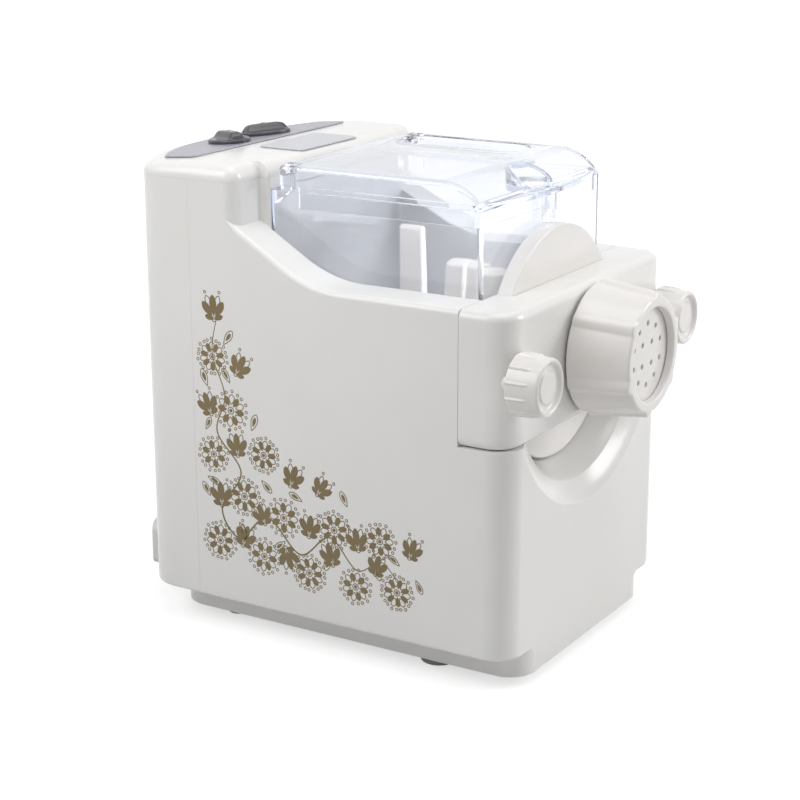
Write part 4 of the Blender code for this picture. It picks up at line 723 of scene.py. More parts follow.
def head_ring(inset, z):
    """The head's plan moved inwards in front and at the sides, with its back left in its plane."""
    half, corner = HALF - inset, FRONT_CORNER - inset
    front = arc((half - corner, FRONT + FRONT_CORNER), corner, -90, 0, 16)
    right = np.concatenate(([(0, FRONT + inset)], front, [(half, -90), (half, HEAD_BACK)]))
    loop = np.concatenate((right, right[:0:-1] * (-1, 1)))
    return at_height(loop, z)


def head_patch():
    """Rings of the head, from the middle of its floor up its sides to the middle of its top."""
    rings = [head_ring(HEAD_ROUND * (1 - np.cos(a)), HEAD_BOTTOM + HEAD_ROUND * (1 - np.sin(a)))
             for a in np.radians(np.linspace(90, 0, 9))]
    rings += [head_ring(0, z) for z in (HEAD_BOTTOM + HEAD_ROUND + 0.8, AXIS, LEDGE - HEAD_ROUND - 0.8)]
    rings += [head_ring(HEAD_ROUND * (1 - np.cos(a)), LEDGE - HEAD_ROUND * (1 - np.sin(a)))
              for a in np.radians(np.linspace(0, 90, 9))]
    return grid(np.stack([to_spine(rings[0])] + rings + [to_spine(rings[-1])]), close_v=True)


barrel_line = [(0, -130), (33.4, -130), (33.4, FRONT), (31.3, -111.6), (30.6, -110), (30.6, -80),
               (0, -80)]
head = solid("head", head_patch())
add(head, *[solid("boss", rod(6, -112.9, -100, (side * CLAMP_X, 0, AXIS))) for side in (-1, 1)])
cut(head,
    solid("disc_room", rod(66.8, -91.5, -60, (0, 0, AXIS), steps=128)),
    solid("barrel_room", turned(barrel_line, (0, 0, AXIS))),
    *[solid("clamp_bore", rod(3.3, -130, -60, (side * CLAMP_X, 0, AXIS), steps=32))
      for side in (-1, 1)])
dress(head, "head_bar", "head", ["extruder_head"], white_abs)

# %% [markdown]
# ## Disc, die, nut and knobs
# These are turned shapes: a profile of radii carried round the extrusion axis. The nut and the
# knobs have raised grips, so their radius also depends on the angle: radius + height times a
# smooth bump that repeats round the circle. A grid over (place along, angle) draws both at once.

# %% Turned shapes with grips
def ribbed(profile, center, count, width, height, rise, first=0.5, steps=360, closed=False):
    """A turned shape whose radius grows by height * bump(angle) * rise(place along).

    The bump is (1 + cos(pi t)) / 2 raised to 0.6, with t the distance from the rib's middle over
    half its width, and 0 beyond. rise gives each profile point its share of the rib.
    """
    profile = np.asarray(profile, float)
    a = np.linspace(0, 2 * np.pi, steps, endpoint=False)
    turn = 2 * np.pi / count
    from_rib = (a / turn - first + 0.5) % 1 * turn - turn / 2
    t = np.clip(np.abs(from_rib)[None, :] * np.maximum(profile[:, :1], 1) / (width / 2), 0, 1)
    bump = height * ((1 + np.cos(np.pi * t)) / 2) ** 0.6
    radius = profile[:, :1] + bump * np.asarray(rise, float)[:, None]
    radius = np.where(profile[:, :1] <= 0, 0, radius)
    along = np.repeat(profile[:, 1:], steps, 1)
    points = np.stack((radius * np.cos(a), along, radius * np.sin(a)), -1)
    return grid(points + np.asarray(center, float), close_u=closed, close_v=True)


def rounded_line(corners, steps=5):
    """A profile whose corners (radius, place, round) are replaced by small arcs.

    Each arc runs between points one round before and after its corner, blended as a quadratic
    curve: (1-t)^2 A + 2t(1-t) corner + t^2 B.
    """
    corners = np.asarray(corners, float)
    line = []
    for i, (r, y, size) in enumerate(corners):
        here = np.array((r, y))
        if size <= 0 or i in (0, len(corners) - 1):
            line.append(here[None])
            continue
        back, ahead = corners[i - 1, :2] - here, corners[i + 1, :2] - here
        a = here + back / np.linalg.norm(back) * size
        b = here + ahead / np.linalg.norm(ahead) * size
        t = np.linspace(0, 1, steps + 1)[:, None]
        line.append((1 - t) ** 2 * a + 2 * t * (1 - t) * here + t ** 2 * b)
    return np.concatenate(line)


def finer(line, step):
    """The profile with points added on spans of more than two steps, without its last point."""
    spans = [(a, b - a, max(1, int(np.linalg.norm(b - a) // step)))
             for a, b in zip(line[:-1], line[1:])]
    return np.concatenate([a + way * np.linspace(0, 1, count + 1)[:-1, None]
                           for a, way, count in spans])


# %% Disc and die
disc_line = rounded_line([(24.5, -140.9, 0), (29, -140.9, 0.8), (29, -91.2, 1.5), (66.5, -91.2, 1.2),
                          (66.5, -82, 0.3), (64.5, -82, 0), (64.5, -84.5, 0), (60.5, -84.5, 0),
                          (60.5, -82, 0), (24.5, -82, 0)])
disc = solid("disc", turned(disc_line, (0, 0, AXIS), steps=128, closed=True))
dress(disc, "front_disc_barrel", "head", ["front_disc"], warm_abs)

die_line = rounded_line([(0, -145.7, 0), (27.6, -145.7, 0), (28.9, -145.0, 0.5),
                         (28.9, -141.2, 0.5), (0, -141.2, 0)])
die = solid("die", turned(die_line, (0, 0, AXIS)))
holes = [(17.5, 10), (8.5, 4)]
for ring, count in holes:
    for angle in (np.arange(count) + 0.5) * 2 * np.pi / count:
        hole = turned([(0, -148.4), (2.3, -146.4), (1.5, -145.3), (1.5, -138), (0, -138)],
                      (ring * math.cos(angle), 0, AXIS + ring * math.sin(angle)), steps=24)
        cut(die, solid("hole", hole))
dress(die, "die_disc", "die", ["die_plate"], warm_abs)
print("die holes:", sum(count for _, count in holes))

# %% Ring nut
nut_line = rounded_line([(29.4, -114.2, 0), (36.5, -114.2, 1.0), (32.3, -150.1, 1.8),
                         (26.6, -150.1, 1.4), (26, -146.0, 0.4), (29.4, -146.0, 0),
                         (29.4, -114.2, 0)], 6)
nut_line = finer(nut_line, 2.5)
RIB_FOOT = 30.6
rise = np.where(nut_line[:, 0] > RIB_FOOT, np.clip((nut_line[:, 0] - RIB_FOOT) / 1.4, 0, 1), 0)
rise *= np.clip((-114.4 - nut_line[:, 1]) / 1.5, 0, 1) ** 0.5
nut = solid("nut", ribbed(nut_line, (0, 0, AXIS), 6, 9.5, 2.4, rise, first=0.367, closed=True))
dress(nut, "ribbed_nut", "nut", ["ring_nut"], warm_abs)


# %% Clamp knobs
def knob_patch(x):
    """A clamp knob: a skirt with twelve thin grips, a rolled rim, a dished face and a button."""
    seat, rear, front, bore_end = -114.7, -112.95, -131.7, -120.4
    line = rounded_line([(3.3, seat, 0), (10.4, seat, 0.3), (10.4, rear, 0.3), (16.5, rear, 0.8),
                         (15.7, front, 1.6), (13.4, front, 1.1), (11.7, front + 2.4, 1.0),
                         (9.3, front + 2.4, 0.8), (8.6, front + 1.4, 0.6), (0, front + 1.3, 0)], 6)
    line = np.concatenate((finer(line, 1.2), line[-1:]))
    from_rear = rear - line[:, 1]
    ends = np.clip(from_rear / 0.8, 0, 1) * np.clip((12.6 - from_rear) / 1.2, 0, 1)
    grip = np.where(line[:, 0] > 15.2, ends, 0)
    points, _ = ribbed(line, (x, 0, AXIS), 12, 2.0, 0.8, grip, steps=384)
    rings = points.reshape(len(line), -1, 3)
    bore = rings[0].copy()
    bore[:, 1] = bore_end
    tip = bore.copy()
    tip[:, 0], tip[:, 2] = x, AXIS
    return grid(np.concatenate((tip[None], bore[None], rings)), close_v=True)


for name, side in (("left", -1), ("right", 1)):
    knob = solid("knob", knob_patch(side * CLAMP_X))
    dress(knob, name + "_knob_shell", name + "_clamp", ["clamp_knob_" + name], warm_abs)

# %% [markdown]
# ## The clear tub
# The tub is moulded in clear styrene plastic. It is a trough with a half-round bottom and straight
# sides, so that the paddle sweeps it clean. Walls of 2.6 mm are real thickness here, because clear
# plastic shows both of its faces. The outside is a prism of the trough's outline; a smaller prism
# hollows it, and a rounded plan trims its upright corners, where light gathers in bright lines.

# %% Tub
TUB_HALF, TUB_RIM, TUB_FRONT, TUB_BACK = 71.0, 261.8, -80.6, 55.0
HINGE_Y, HINGE_Z, HINGE_BORE, FRAME_FRONT = 45.2, 272.1, 2.1, 50.3
LID_TOP, LID_RIM, LID_EDGE = 276.5, 262.1, 3.4


def ear_patch(side):
    """A hinge ear: a half round about the hinge axis on a foot against the tub's rear wall."""
    wall = TUB_BACK - WALL
    outline = np.concatenate((arc((HINGE_Y, HINGE_Z), 3.5, 0, 180, 16),
                              [(HINGE_Y - 3.5, TUB_RIM), (wall, 254), (wall, TUB_RIM),
                               (HINGE_Y + 3.5, TUB_RIM)]))
    return prism(outline, *sorted((side * 68.1, side * 62.9)), "X")


def rear_frame():
    """The tub's raised rear end behind the lid: it has the lid's profile, so they look like one."""
    corner_x, corner_z = TUB_HALF - LID_EDGE, LID_TOP - LID_EDGE
    across = np.concatenate((arc((corner_x, corner_z), LID_EDGE, 0, 90, 8),
                             arc((-corner_x, corner_z), LID_EDGE, 90, 180, 8),
                             [(-TUB_HALF, TUB_RIM - 0.5), (TUB_HALF, TUB_RIM - 0.5)]))
    frame = solid("frame", prism(across, FRAME_FRONT, TUB_BACK, "Y"))
    side_view = np.concatenate(([(FRAME_FRONT - 1, 200), (TUB_BACK, 200)],
                                arc((TUB_BACK - 4, LID_TOP - 4), 4, 0, 90, 8),
                                [(51.5, LID_TOP), (FRAME_FRONT, 272.4), (FRAME_FRONT - 1, 272.4)]))
    combine(frame, [solid("frame_side", prism(side_view, -90, 90, "X"))], "INTERSECT")
    inner, roof = TUB_HALF - WALL, 273.9
    inside = [(-inner, 250), (inner, 250), (inner, roof), (-inner, roof)]
    return cut(frame, solid("frame_room", prism(inside, FRAME_FRONT - 1, TUB_BACK - WALL, "Y")))


tub = solid("tub", prism(bay_outline(TUB_HALF, TUB_RIM), TUB_FRONT, TUB_BACK, "Y"))
tub_plan = round_box(142, TUB_BACK - TUB_FRONT, 3.0, (0, (TUB_BACK + TUB_FRONT) / 2), 8)
combine(tub, [solid("tub_plan", prism(tub_plan, 0, 400, "Z"))], "INTERSECT")
tub_room = prism(bay_outline(TUB_HALF - WALL, 300), TUB_FRONT + WALL, TUB_BACK - WALL, "Y")
cut(tub, solid("tub_room", tub_room), solid("mouth", rod(60, -90, -70, (0, 0, AXIS), steps=128)),
    solid("shaft_hole", rod(10.3, 40, 60, (0, 0, AXIS))))
add(tub, *[solid("ear", ear_patch(side)) for side in (-1, 1)], rear_frame())
hinge_circle = arc((HINGE_Y, HINGE_Z), HINGE_BORE, 0, 360, 24)[:-1]
cut(tub, *[solid("ear_bore", prism(hinge_circle, *sorted((side * 60, side * 70)), "X"))
           for side in (-1, 1)])
print("tub faces:", len(tub.data.polygons))

# %% [markdown]
# ## The clear lid
# The lid is a shallow tray turned over: flat on top, bowed down in front, round at the hinge, with
# round edges along its sides. Its skin is a function of two parameters, the place along the side
# line and the place across. Near the sides each point leaves the line square to it on a quarter
# circle, which draws the round edge. A water trough with a slot, a finger scoop, a front tab with
# a latch post, and an inner lip are added as they are on the tool.

# %% Lid
BOW_Y, BOW_R, HINGE_ROUND = -54.0, 32.9, 4.4
TROUGH, SCOOP = (46, -2.5), (0, -75, 0)


def lid_line(inset, low):
    """(y, z) down the lid's middle: rear wall, hinge round, flat top and front bow, as far as low."""
    bow_center = (BOW_Y, LID_TOP - BOW_R)
    end = 180 - math.degrees(math.asin((low - bow_center[1]) / (BOW_R - inset)))
    flat = np.column_stack((np.linspace(HINGE_Y, BOW_Y, 9)[1:-1], np.full(7, LID_TOP - inset)))
    return np.concatenate(([(HINGE_Y + HINGE_ROUND - inset, low)],
                           arc((HINGE_Y, HINGE_Z), HINGE_ROUND - inset, 0, 90, 10), flat,
                           arc(bow_center, BOW_R - inset, 90, end, 32)))


def loaf(half, inset, edge, low):
    """The lid's filled shape: rows across, from the left wall's foot over the top to the right one's.

    Row t of the round edge lies at x = half - edge + edge sin t, and edge (1 - cos t) below the
    line, measured square to it.
    """
    line = lid_line(inset, low)
    along = np.gradient(line, axis=0)
    normal = np.stack((-along[:, 1], along[:, 0]), -1)
    normal /= -np.linalg.norm(normal, axis=1, keepdims=True)
    normal[0] = normal[1] = (1, 0)
    turns = np.radians(np.linspace(0, 90, 7))
    right = [(0.0, line), (half - edge - 0.8, line)]
    right += [(half - edge + edge * math.sin(t), line - normal * edge * (1 - math.cos(t)))
              for t in turns]
    foot = right[-1][1].copy()
    foot[:, 1] = low
    right.append((half, foot))
    rows = [np.column_stack((np.full(len(yz), sign * x), yz[:, 0], np.maximum(yz[:, 1], low)))
            for sign, part in ((-1, right[:0:-1]), (1, right)) for x, yz in part]
    stack = np.stack(rows)
    points, faces = grid(stack)
    n, m = stack.shape[:2]
    index = np.arange(n * m).reshape(n, m)
    rim = np.concatenate((index[0], index[1:, -1], index[-1, -2::-1], index[-2:0:-1, 0]))
    return points, faces.tolist() + [rim.tolist()]


def basin(outline_of, floor, top, foot_round, rim_round):
    """A cutter for a trough: a flared rim above, upright walls, and a round foot on a flat floor.

    outline_of(outset) gives the trough's outline grown by the outset.
    """
    levels = [(rim_round, top + 10)]
    levels += [(rim_round * (1 - math.cos(t)), top - rim_round + rim_round * math.sin(t))
               for t in np.radians((90, 60, 30, 0))]
    levels += [(-foot_round * (1 - math.cos(t)), floor + foot_round * (1 - math.sin(t)))
               for t in np.radians((0, 22, 45, 67, 90))]
    return capped([at_height(outline_of(outset), z) for outset, z in levels])


def trough_line(outset):
    """Outline of the water trough."""
    return round_box(28 + 2 * outset, 85 + 2 * outset, 12 + outset, TROUGH, 10)


def tab_line():
    """The bowed tab's outline: a straight back inside the lid and a parabola in front."""
    share = np.linspace(-1, 1, 41)
    front = np.column_stack((share * 62, TUB_FRONT - 8 * (1 - share ** 2)))
    return np.concatenate((front, [(62, -75.4), (-62, -75.4)]))


lid = solid("lid", loaf(TUB_HALF, 0, LID_EDGE, 250))
cut(lid, solid("below", block((-120, -140, 200), (120, 90, LID_RIM))))
scoop = solid("scoop", rod(17.5, LID_RIM, 290, SCOOP, "Z", 64))
combine(scoop, [solid("scoop_limit", loaf(TUB_HALF, 0, LID_EDGE, 250))], "INTERSECT")
cut(lid, solid("lid_room", loaf(TUB_HALF - WALL, WALL, 1.4, 240)),
    solid("rear_relief", block((-120, 40.2, 200), (120, 90, 264.5))))
pads = [sheet_patch(tab_line(), 3.0, 0.7, lambda p: p + (0, 0, LID_RIM)),
        sheet_patch(round_box(11, 5, 1.4, (0, -83.9)), 18.0, 0.8,
                    lambda p: p * (1, 1, -1) + (0, 0, 264.4)),
        prism(trough_line(1.8), 266.7, LID_TOP - 0.002, "Z")]
pads += [block((x0, -76.4, 252.3), (x0 + 2, 36, 264.4)) for x0 in (-67.8, 65.8)]
pads += [block((x0, -76.4, LID_RIM), (x0 + 4, 36, 264.39)) for x0 in (-69.8, 65.8)]
pads += [block((-67.8, -76.41, 252.31), (67.8, -74.4, 264.38)),
         block((-67.7, -78.4, LID_RIM + 0.01), (67.7, -74.5, 264.37))]
add(lid, *[solid("pad", pad) for pad in pads], scoop)
scoop_line = [(0, 265.1), (12.0, 265.1), (14.5, 267.6), (14.5, 274.5), (16.3, 277.2), (16.3, 290),
              (0, 290)]
cut(lid, solid("basin", basin(trough_line, 268.5, LID_TOP, 3.0, 1.2)),
    solid("slot", prism(round_box(7, 60, 3, TROUGH), 250, 272, "Z")),
    solid("scoop_room", turned(scoop_line, SCOOP, "Z", 64)))
cut(lid, *[solid("notch", block((x, 36.7, 259), (x + 5.8, 90, 300))) for x in (62.6, -68.4)],
    solid("hinge_bore", prism(hinge_circle, -90, 90, "X")))
print("lid faces:", len(lid.data.polygons))


# %% Clear plastic
def clear(name, tint, roughness, **values):
    """Clear styrene plastic: fully transmitting with a trace of cool tint, slate blue at its edges.

    The blue comes from absorption, exp(-density * (1 - colour) * path): a wall is too thin to show
    it, but light that runs along inside a wall to its edge is tinted.

    The polish is uneven over 30 mm, which breaks up reflections a little. Light that goes to or
    comes from a surface behind it passes nearly straight through, as it does through thin clear
    walls, and so does a ray that has met many walls before, which keeps the edges pale.
    """
    material, tree, shader, place = finish_tree(name, transmission_weight=1.0, **values)
    two_shades(tree, shader, noise(tree, place, 30), tint, "#f8f9fc")
    rough = ramp(tree, noise(tree, place, 9, 3.0), roughness, roughness + 0.03)
    tree.links.new(rough, shader.inputs["Roughness"])
    bump = add_node(tree, "ShaderNodeBump", {"Height": noise(tree, place, 35, 1.0)},
                    {"Strength": 0.3, "Distance": 0.00001})
    tree.links.new(bump.outputs["Normal"], shader.inputs["Normal"])
    path = add_node(tree, "ShaderNodeLightPath").outputs
    deep = add_node(tree, "ShaderNodeMath", {0: path["Ray Depth"]}, {1: 3.5},
                    operation="GREATER_THAN").outputs[0]
    either = larger(tree, larger(tree, path["Is Shadow Ray"], path["Is Diffuse Ray"]), deep)
    tree.links.new(ramp(tree, either, 1.0, 0.03, 0.0, 1.0), shader.inputs["Alpha"])
    depth = add_node(tree, "ShaderNodeVolumeAbsorption",
                     values={"Color": linear("#bccae4"), "Density": 22.0})
    tree.links.new(depth.outputs["Volume"], tree.nodes["Material Output"].inputs["Volume"])
    return material


clear_tub = clear("clear_styrene", "#f4f6fa", 0.03, ior=1.57)
dress(tub, "clear_tub", "housing", ["mixing_tub"], clear_tub, weighted=False)
clear_lid = clear("clear_styrene_lid", "#f4f6fa", 0.02, ior=1.57)
dress(lid, "clear_lid", "lid", ["lid"], clear_lid, weighted=False)

# %% [markdown]
# ## The paddle
# The white paddle shows through the tub. It has a hub on the drive shaft, flat arms with round
# edges, and an auger that pushes dough into the barrel. An arm is a rounded section carried
# outwards: the section is a superellipse, |x/a|^4 + |y/b|^4 = 1, and it closes over its tip.

# %% Paddle
def arm_patch(y, degrees, reach, width, thickness=6.0):
    """One arm: superellipse rings along its reach, thinning a little, with a round tip."""
    a = np.linspace(0, 2 * np.pi, 48, endpoint=False)
    across = np.sign(np.cos(a)) * np.abs(np.cos(a)) ** 0.45
    through = np.sign(np.sin(a)) * np.abs(np.sin(a)) ** 0.6
    tip = np.radians((20, 40, 60, 75, 90))
    out = np.concatenate((np.linspace(2, reach - 3, 12), reach - 3 + 3 * np.sin(tip)))
    size = np.concatenate((np.linspace(1.1, 0.97, 12), 1 - 0.25 * (1 - np.cos(tip))))
    size[-1] = 0.55
    thin = np.concatenate((np.linspace(1.25, 0.9, 12), 0.9 * np.cos(np.radians((20, 40, 60, 75, 86)))))
    along = np.outer(out, np.ones(48))
    wide, deep = np.outer(size, across) * width / 2, np.outer(thin, through) * thickness / 2
    t = math.radians(degrees)
    return pointed(np.stack((along * math.cos(t) - deep * math.sin(t), y + wide,
                             AXIS + along * math.sin(t) + deep * math.cos(t)), -1))


def auger_patch(turns=3, pitch=22.0, inner=6.0, outer=22.5, front=-139.0):
    """The auger's flight: radius and turn are its parameters, y = front + 2 + 0.97 pitch * turn.

    Its section tapers from 4 mm at the core to 2 mm at the rim and is carried round the screw.
    """
    turn = np.linspace(0, turns, turns * 48 + 1)
    section = np.array([(inner, -2.0), (outer - 0.8, -1.1), (outer, -0.5), (outer, 0.5),
                        (outer - 0.8, 1.1), (inner, 2.0)])
    a = 2 * np.pi * turn[:, None]
    radius, shift = section[:, 0][None], section[:, 1][None]
    y = front + 2 + pitch * turn[:, None] * 0.97 + shift
    return pointed(np.stack((radius * np.cos(a), y, AXIS + radius * np.sin(a)), -1))


hub_line = rounded_line([(0, -139, 0), (8, -139, 1.5), (8, -72, 0), (11, -70, 0.8), (11, -52, 0.3),
                         (12.4, -50, 0.8), (12.4, -30, 0.8), (11, -28, 0.3), (11, 44, 1.0),
                         (6.3, 44, 0), (6.3, 23.7, 0), (0, 23.7, 0)])
paddle = solid("paddle", turned(hub_line, (0, 0, AXIS), steps=64))
# Place along the axis, direction in degrees, reach, width and, for the thick lobes, thickness.
ARMS = ((4.4, 90, 57, 15), (-26.5, 90, 40, 14.5, 18), (-39.5, 90, 40, 14.5, 18),
        (-52.5, 90, 37.5, 14.5, 18), (-16.5, -30, 57, 15), (24.2, 210, 57, 15))
add(paddle, *[solid("arm", arm_patch(*arm)) for arm in ARMS], solid("flight", auger_patch()))
dress(paddle, "paddle_auger", "drive", ["mixing_paddle"], warm_abs)
print("paddle faces:", len(paddle.data.polygons))

# %% [markdown]
# ## The switches
# Each rotary switch has an oval cap with a grip across it, in dark grey plastic. The cap is a
# height over an ellipse: (r, a) gives the place, and the height is a rounded rim plus a ridge
# with blunt ends and steep sides.

# %% Switch knobs
CAP_LONG, CAP_SHORT, CAP_RIM, CAP_LIFT = 16.0, 12.0, 1.9, 1.6
GRIP_RISE, GRIP_HALF, GRIP_WAIST = 4.2, 13.4, 4.1


def cap_patch(x, turned_by):
    """A switch cap laid on the falling top: rim, oval top with its grip, and a flat underside.

    The grip rises by rise * (1 - |u|^7)^0.6 / (1 + |v|^7), with u along it and v across it, so its
    ends are blunt, its back is level and its sides fall steeply to the disc.
    """
    bend = np.sin(np.radians(np.linspace(15, 90, 6)))
    r = np.concatenate((np.linspace(0, 0.9, 64), 0.9 + 0.1 * bend))[:, None]
    a = np.linspace(0, 2 * np.pi, 160, endpoint=False)[None]
    u, v = CAP_LONG * r * np.cos(a), CAP_SHORT * r * np.sin(a)
    rim = np.where(r > 0.9, 1 - np.sqrt(np.clip(1 - ((r - 0.9) / 0.1) ** 2, 0, 1)), 0)
    ridge = np.clip(1 - np.abs(u / GRIP_HALF) ** 7, 0, 1) ** 0.6 / (1 + np.abs(v / GRIP_WAIST) ** 7)
    height = CAP_RIM - rim + GRIP_RISE * ridge
    top = np.stack((u, v, height), -1)
    base = [np.stack((u[-1], v[-1], np.full(a.size, z)), -1) for z in (1.0, 0.0)]
    flat = base[-1] * (0, 0, 1)
    points, faces = grid(np.concatenate((top, np.stack(base), flat[None])), close_v=True)
    c, s = math.cos(math.radians(turned_by)), math.sin(math.radians(turned_by))
    placed = np.stack((x + points[:, 0] * c - points[:, 1] * s,
                       SWITCH_DROP + points[:, 0] * s + points[:, 1] * c, points[:, 2] + CAP_LIFT), -1)
    return on_slope(placed), faces


# Dark grey ABS, fine satin: the grips look almost black, with cool highlights.
dark_abs = moulded("dark_grey_abs", "#4a4850", "#454349", 0.22, grain=0.01, ior=1.54)
for name, x, turn in (("left", -SWITCH_X, 59), ("right", SWITCH_X, -31)):
    cap = solid("cap", cap_patch(x, turn))
    dress(cap, name + "_switch_cap", name + "_switch", [name + "_switch_knob"], dark_abs)

# %% [markdown]
# ## Feet and cord inlet
# The feet are turned rubber pads. The inlet is a block of matt plastic whose front follows the
# bowed rear, with a flared hole for the cord.

# %% Feet and inlet
rubber = moulded("grey_rubber", "#a5a29c", "#9d9a94", 0.7, grain=0.05, ior=1.5)
FEET = (("left_front", -64, -52, 11), ("right_front", 64, -52, 11), ("left_rear", -64, 88, 7),
        ("right_rear", 64, 88, 7))
for name, x, y, radius in FEET:
    line = rounded_line([(0, 5.7, 0), (radius, 5.7, 0.3), (radius - 0.5, 0, 1.4),
                         (radius * 0.55, 0, 0.3), (radius * 0.5, 0.7, 0.3), (0, 0.7, 0)])
    foot = solid("foot", turned(line, (x, y, 0), "Z", 48))
    dress(foot, name + "_foot_pad", "housing", ["foot_" + name], rubber)

satin_abs = moulded("satin_white_abs", "#e3e2de", "#dfded9", 0.45, grain=0.02, ior=1.54)
inlet = solid("inlet", prism(round_box(16, 26, 5, INLET, 8), 120, 170, "Y"))
inlet_face, inlet_seat = (prism(plan_inset(-out, FRONT, FRONT_CORNER), 0, 100, "Z")
                          for out in (6.2, GAP))
combine(inlet, [solid("inlet_face", inlet_face)], "INTERSECT")
cut(inlet, solid("seat", inlet_seat),
    solid("inlet_bore", rod(CORD_BORE, 100, 170, (INLET[0], 0, INLET[1]))))
rounding = inlet.modifiers.new("edge_round", "BEVEL")
rounding.width, rounding.segments = 0.0014, 3
rounding.limit_method, rounding.angle_limit = "ANGLE", math.radians(50)
dress(inlet, "inlet_block", "housing", ["cord_inlet"], satin_abs)

# %% [markdown]
# ## What is inside
# The gears, shafts, motor, board and fasteners keep their CAD meshes: they hide in the machine, or
# show only from below. Each still gets a real finish: steel with fine turning lines, brass,
# milky nylon, lacquered windings, and matt black plastic.

# %% Finishes of the inner pieces
steel = brushed("bright_steel", "#b9b9bb", "#a9a9ac", 0.34, 0.3, metallic=1.0)
brass = brushed("turned_brass", "#c9a45c", "#bd974f", 0.34, 0.3, metallic=1.0)
copper = brushed("lacquered_copper_windings", "#a5623a", "#8e5230", 0.4, 0.6, metallic=0.6)
nylon = moulded("milky_nylon", "#dedbd0", "#d6d3c6", 0.45, grain=0.02, ior=1.53)
black_abs = moulded("matt_black_plastic", "#1f1f22", "#252528", 0.5, grain=0.03, ior=1.54)
board_lacquer = moulded("green_board_lacquer", "#1d5a37", "#184d2f", 0.35, ior=1.52)
inner_finishes = {
    steel: ("base_screw_", "clamp_screw_", "clamp_washer_", "hinge_pin_", "drive_shaft", "lay_shaft", "lay_pinion",
            "gear_frame_", "motor_can", "motor_rotor", "left_switch_spindle", "right_switch_spindle"),
    brass: ("clamp_insert_", "drive_bush_", "lay_bush_", "motor_pinion"),
    copper: ("motor_stator",),
    nylon: ("output_gear", "lay_gear"),
    black_abs: ("left_switch_body", "right_switch_body", "motor_end_cap", "cooling_fan"),
    board_lacquer: ("circuit_board",),
    rubber: ("disc_seal", "shaft_seal"),
    satin_abs: ("base_plate",),
}
painted = 0
for finish, starts in inner_finishes.items():
    for name, item in frame["nodes"].items():
        if name.startswith(starts):
            item.data.materials.clear()
            item.data.materials.append(finish)
            painted += 1
print("inner pieces painted:", painted)

# %% [markdown]
# ## The print on the side
# A warm brown ornament is printed on the left wall. This one is a design of its own: a climbing
# vine with folk-style blossoms, cup flowers and leaves, a common kind of decoration. Every motif is
# a flat shape: a circle, a petal, or a band of changing width along a curve. Ink is almost without
# thickness, so each shape is a sheet of a tenth of a millimetre at most on the wall, and
# neighbours differ a little, as overprinted ink does.

# %% Ink shapes
ink_points, ink_faces = [], []
PRINT_LIFT = 12.0


def ink(outline, holes=None, depth=None):
    """Add a flat shape: its outline on the wall in (y, z), as a thin sheet with sides.

    With holes, the shape is a band between the outline and the inner outline of as many points.
    """
    outer = np.asarray(outline, float)
    start = sum(len(part) for part in ink_points)
    lift = (0.0, depth or 0.03 + 0.0031 * (len(ink_faces) % 17))
    count = len(outer)
    rings = [outer, outer] if holes is None else [outer, outer, holes, holes]
    depth = lift if holes is None else (lift[0], lift[1], lift[1], lift[0])
    for ring, d in zip(rings, depth):
        ink_points.append(np.column_stack((np.full(count, -HALF - 0.01 - d), ring + (0, PRINT_LIFT))))
    index = start + np.arange(len(rings) * count).reshape(len(rings), count)
    wrap = np.hstack((index, index[:, :1]))
    pairs = zip(wrap[:-1], wrap[1:]) if holes is None else zip(wrap, np.roll(wrap, -1, 0))
    for low, high in pairs:
        ink_faces.extend(np.stack((low[:-1], low[1:], high[1:], high[:-1]), -1).tolist())
    if holes is None:
        ink_faces.append(index[0][::-1].tolist())
        ink_faces.append(index[-1].tolist())


def circle(center, radius, steps):
    """A closed outline: center + radius (cos a, sin a)."""
    a = np.linspace(0, 2 * np.pi, steps, endpoint=False)
    return np.stack((center[0] + radius * np.cos(a), center[1] + radius * np.sin(a)), -1)


def petal(base, direction, length, width, steps=28):
    """A petal: its width follows sin(pi t)^0.7 along its length and swells to its tip."""
    t = np.linspace(0, 1, steps)
    half = width / 2 * np.sin(np.pi * t) ** 0.7 * (0.65 + 0.7 * t)
    along = length * t
    c, s = math.cos(direction), math.sin(direction)
    u, v = np.concatenate((along, along[-2:0:-1])), np.concatenate((half, -half[-2:0:-1]))
    return np.stack((base[0] + u * c - v * s, base[1] + u * s + v * c), -1)


def band(line, width):
    """A stem: a band along a line, as wide as width in its middle and thinner to its ends."""
    line = np.asarray(line, float)
    along = np.gradient(line, axis=0)
    normal = np.stack((-along[:, 1], along[:, 0]), -1)
    normal /= np.linalg.norm(along, axis=1, keepdims=True)
    t = np.linspace(0, 1, len(line))
    half = (width / 2 * (0.35 + 0.65 * np.sin(np.pi * np.clip(t, 0.02, 0.98))))[:, None]
    return np.concatenate((line + normal * half, (line - normal * half)[::-1]))


# %% Motifs
def ring(center, radius, wall, steps=14):
    """A small circle drawn as a band, or a dot when the wall is as thick as the radius."""
    ink(circle(center, radius, steps),
        None if wall >= radius else circle(center, radius - wall, steps))


def toward(center, angle, distance):
    """The point at a distance from the center in a direction."""
    return np.asarray(center, float) + distance * np.array((math.cos(angle), math.sin(angle)))


def outlined(shape, wall):
    """A shape drawn by its edge: the band between it and itself moved inwards by the wall."""
    normal = loop_normals(shape)
    inwards = np.sign(((shape.mean(0) - shape) * normal).sum(1).mean())
    ink(shape, shape + normal * wall * inwards)


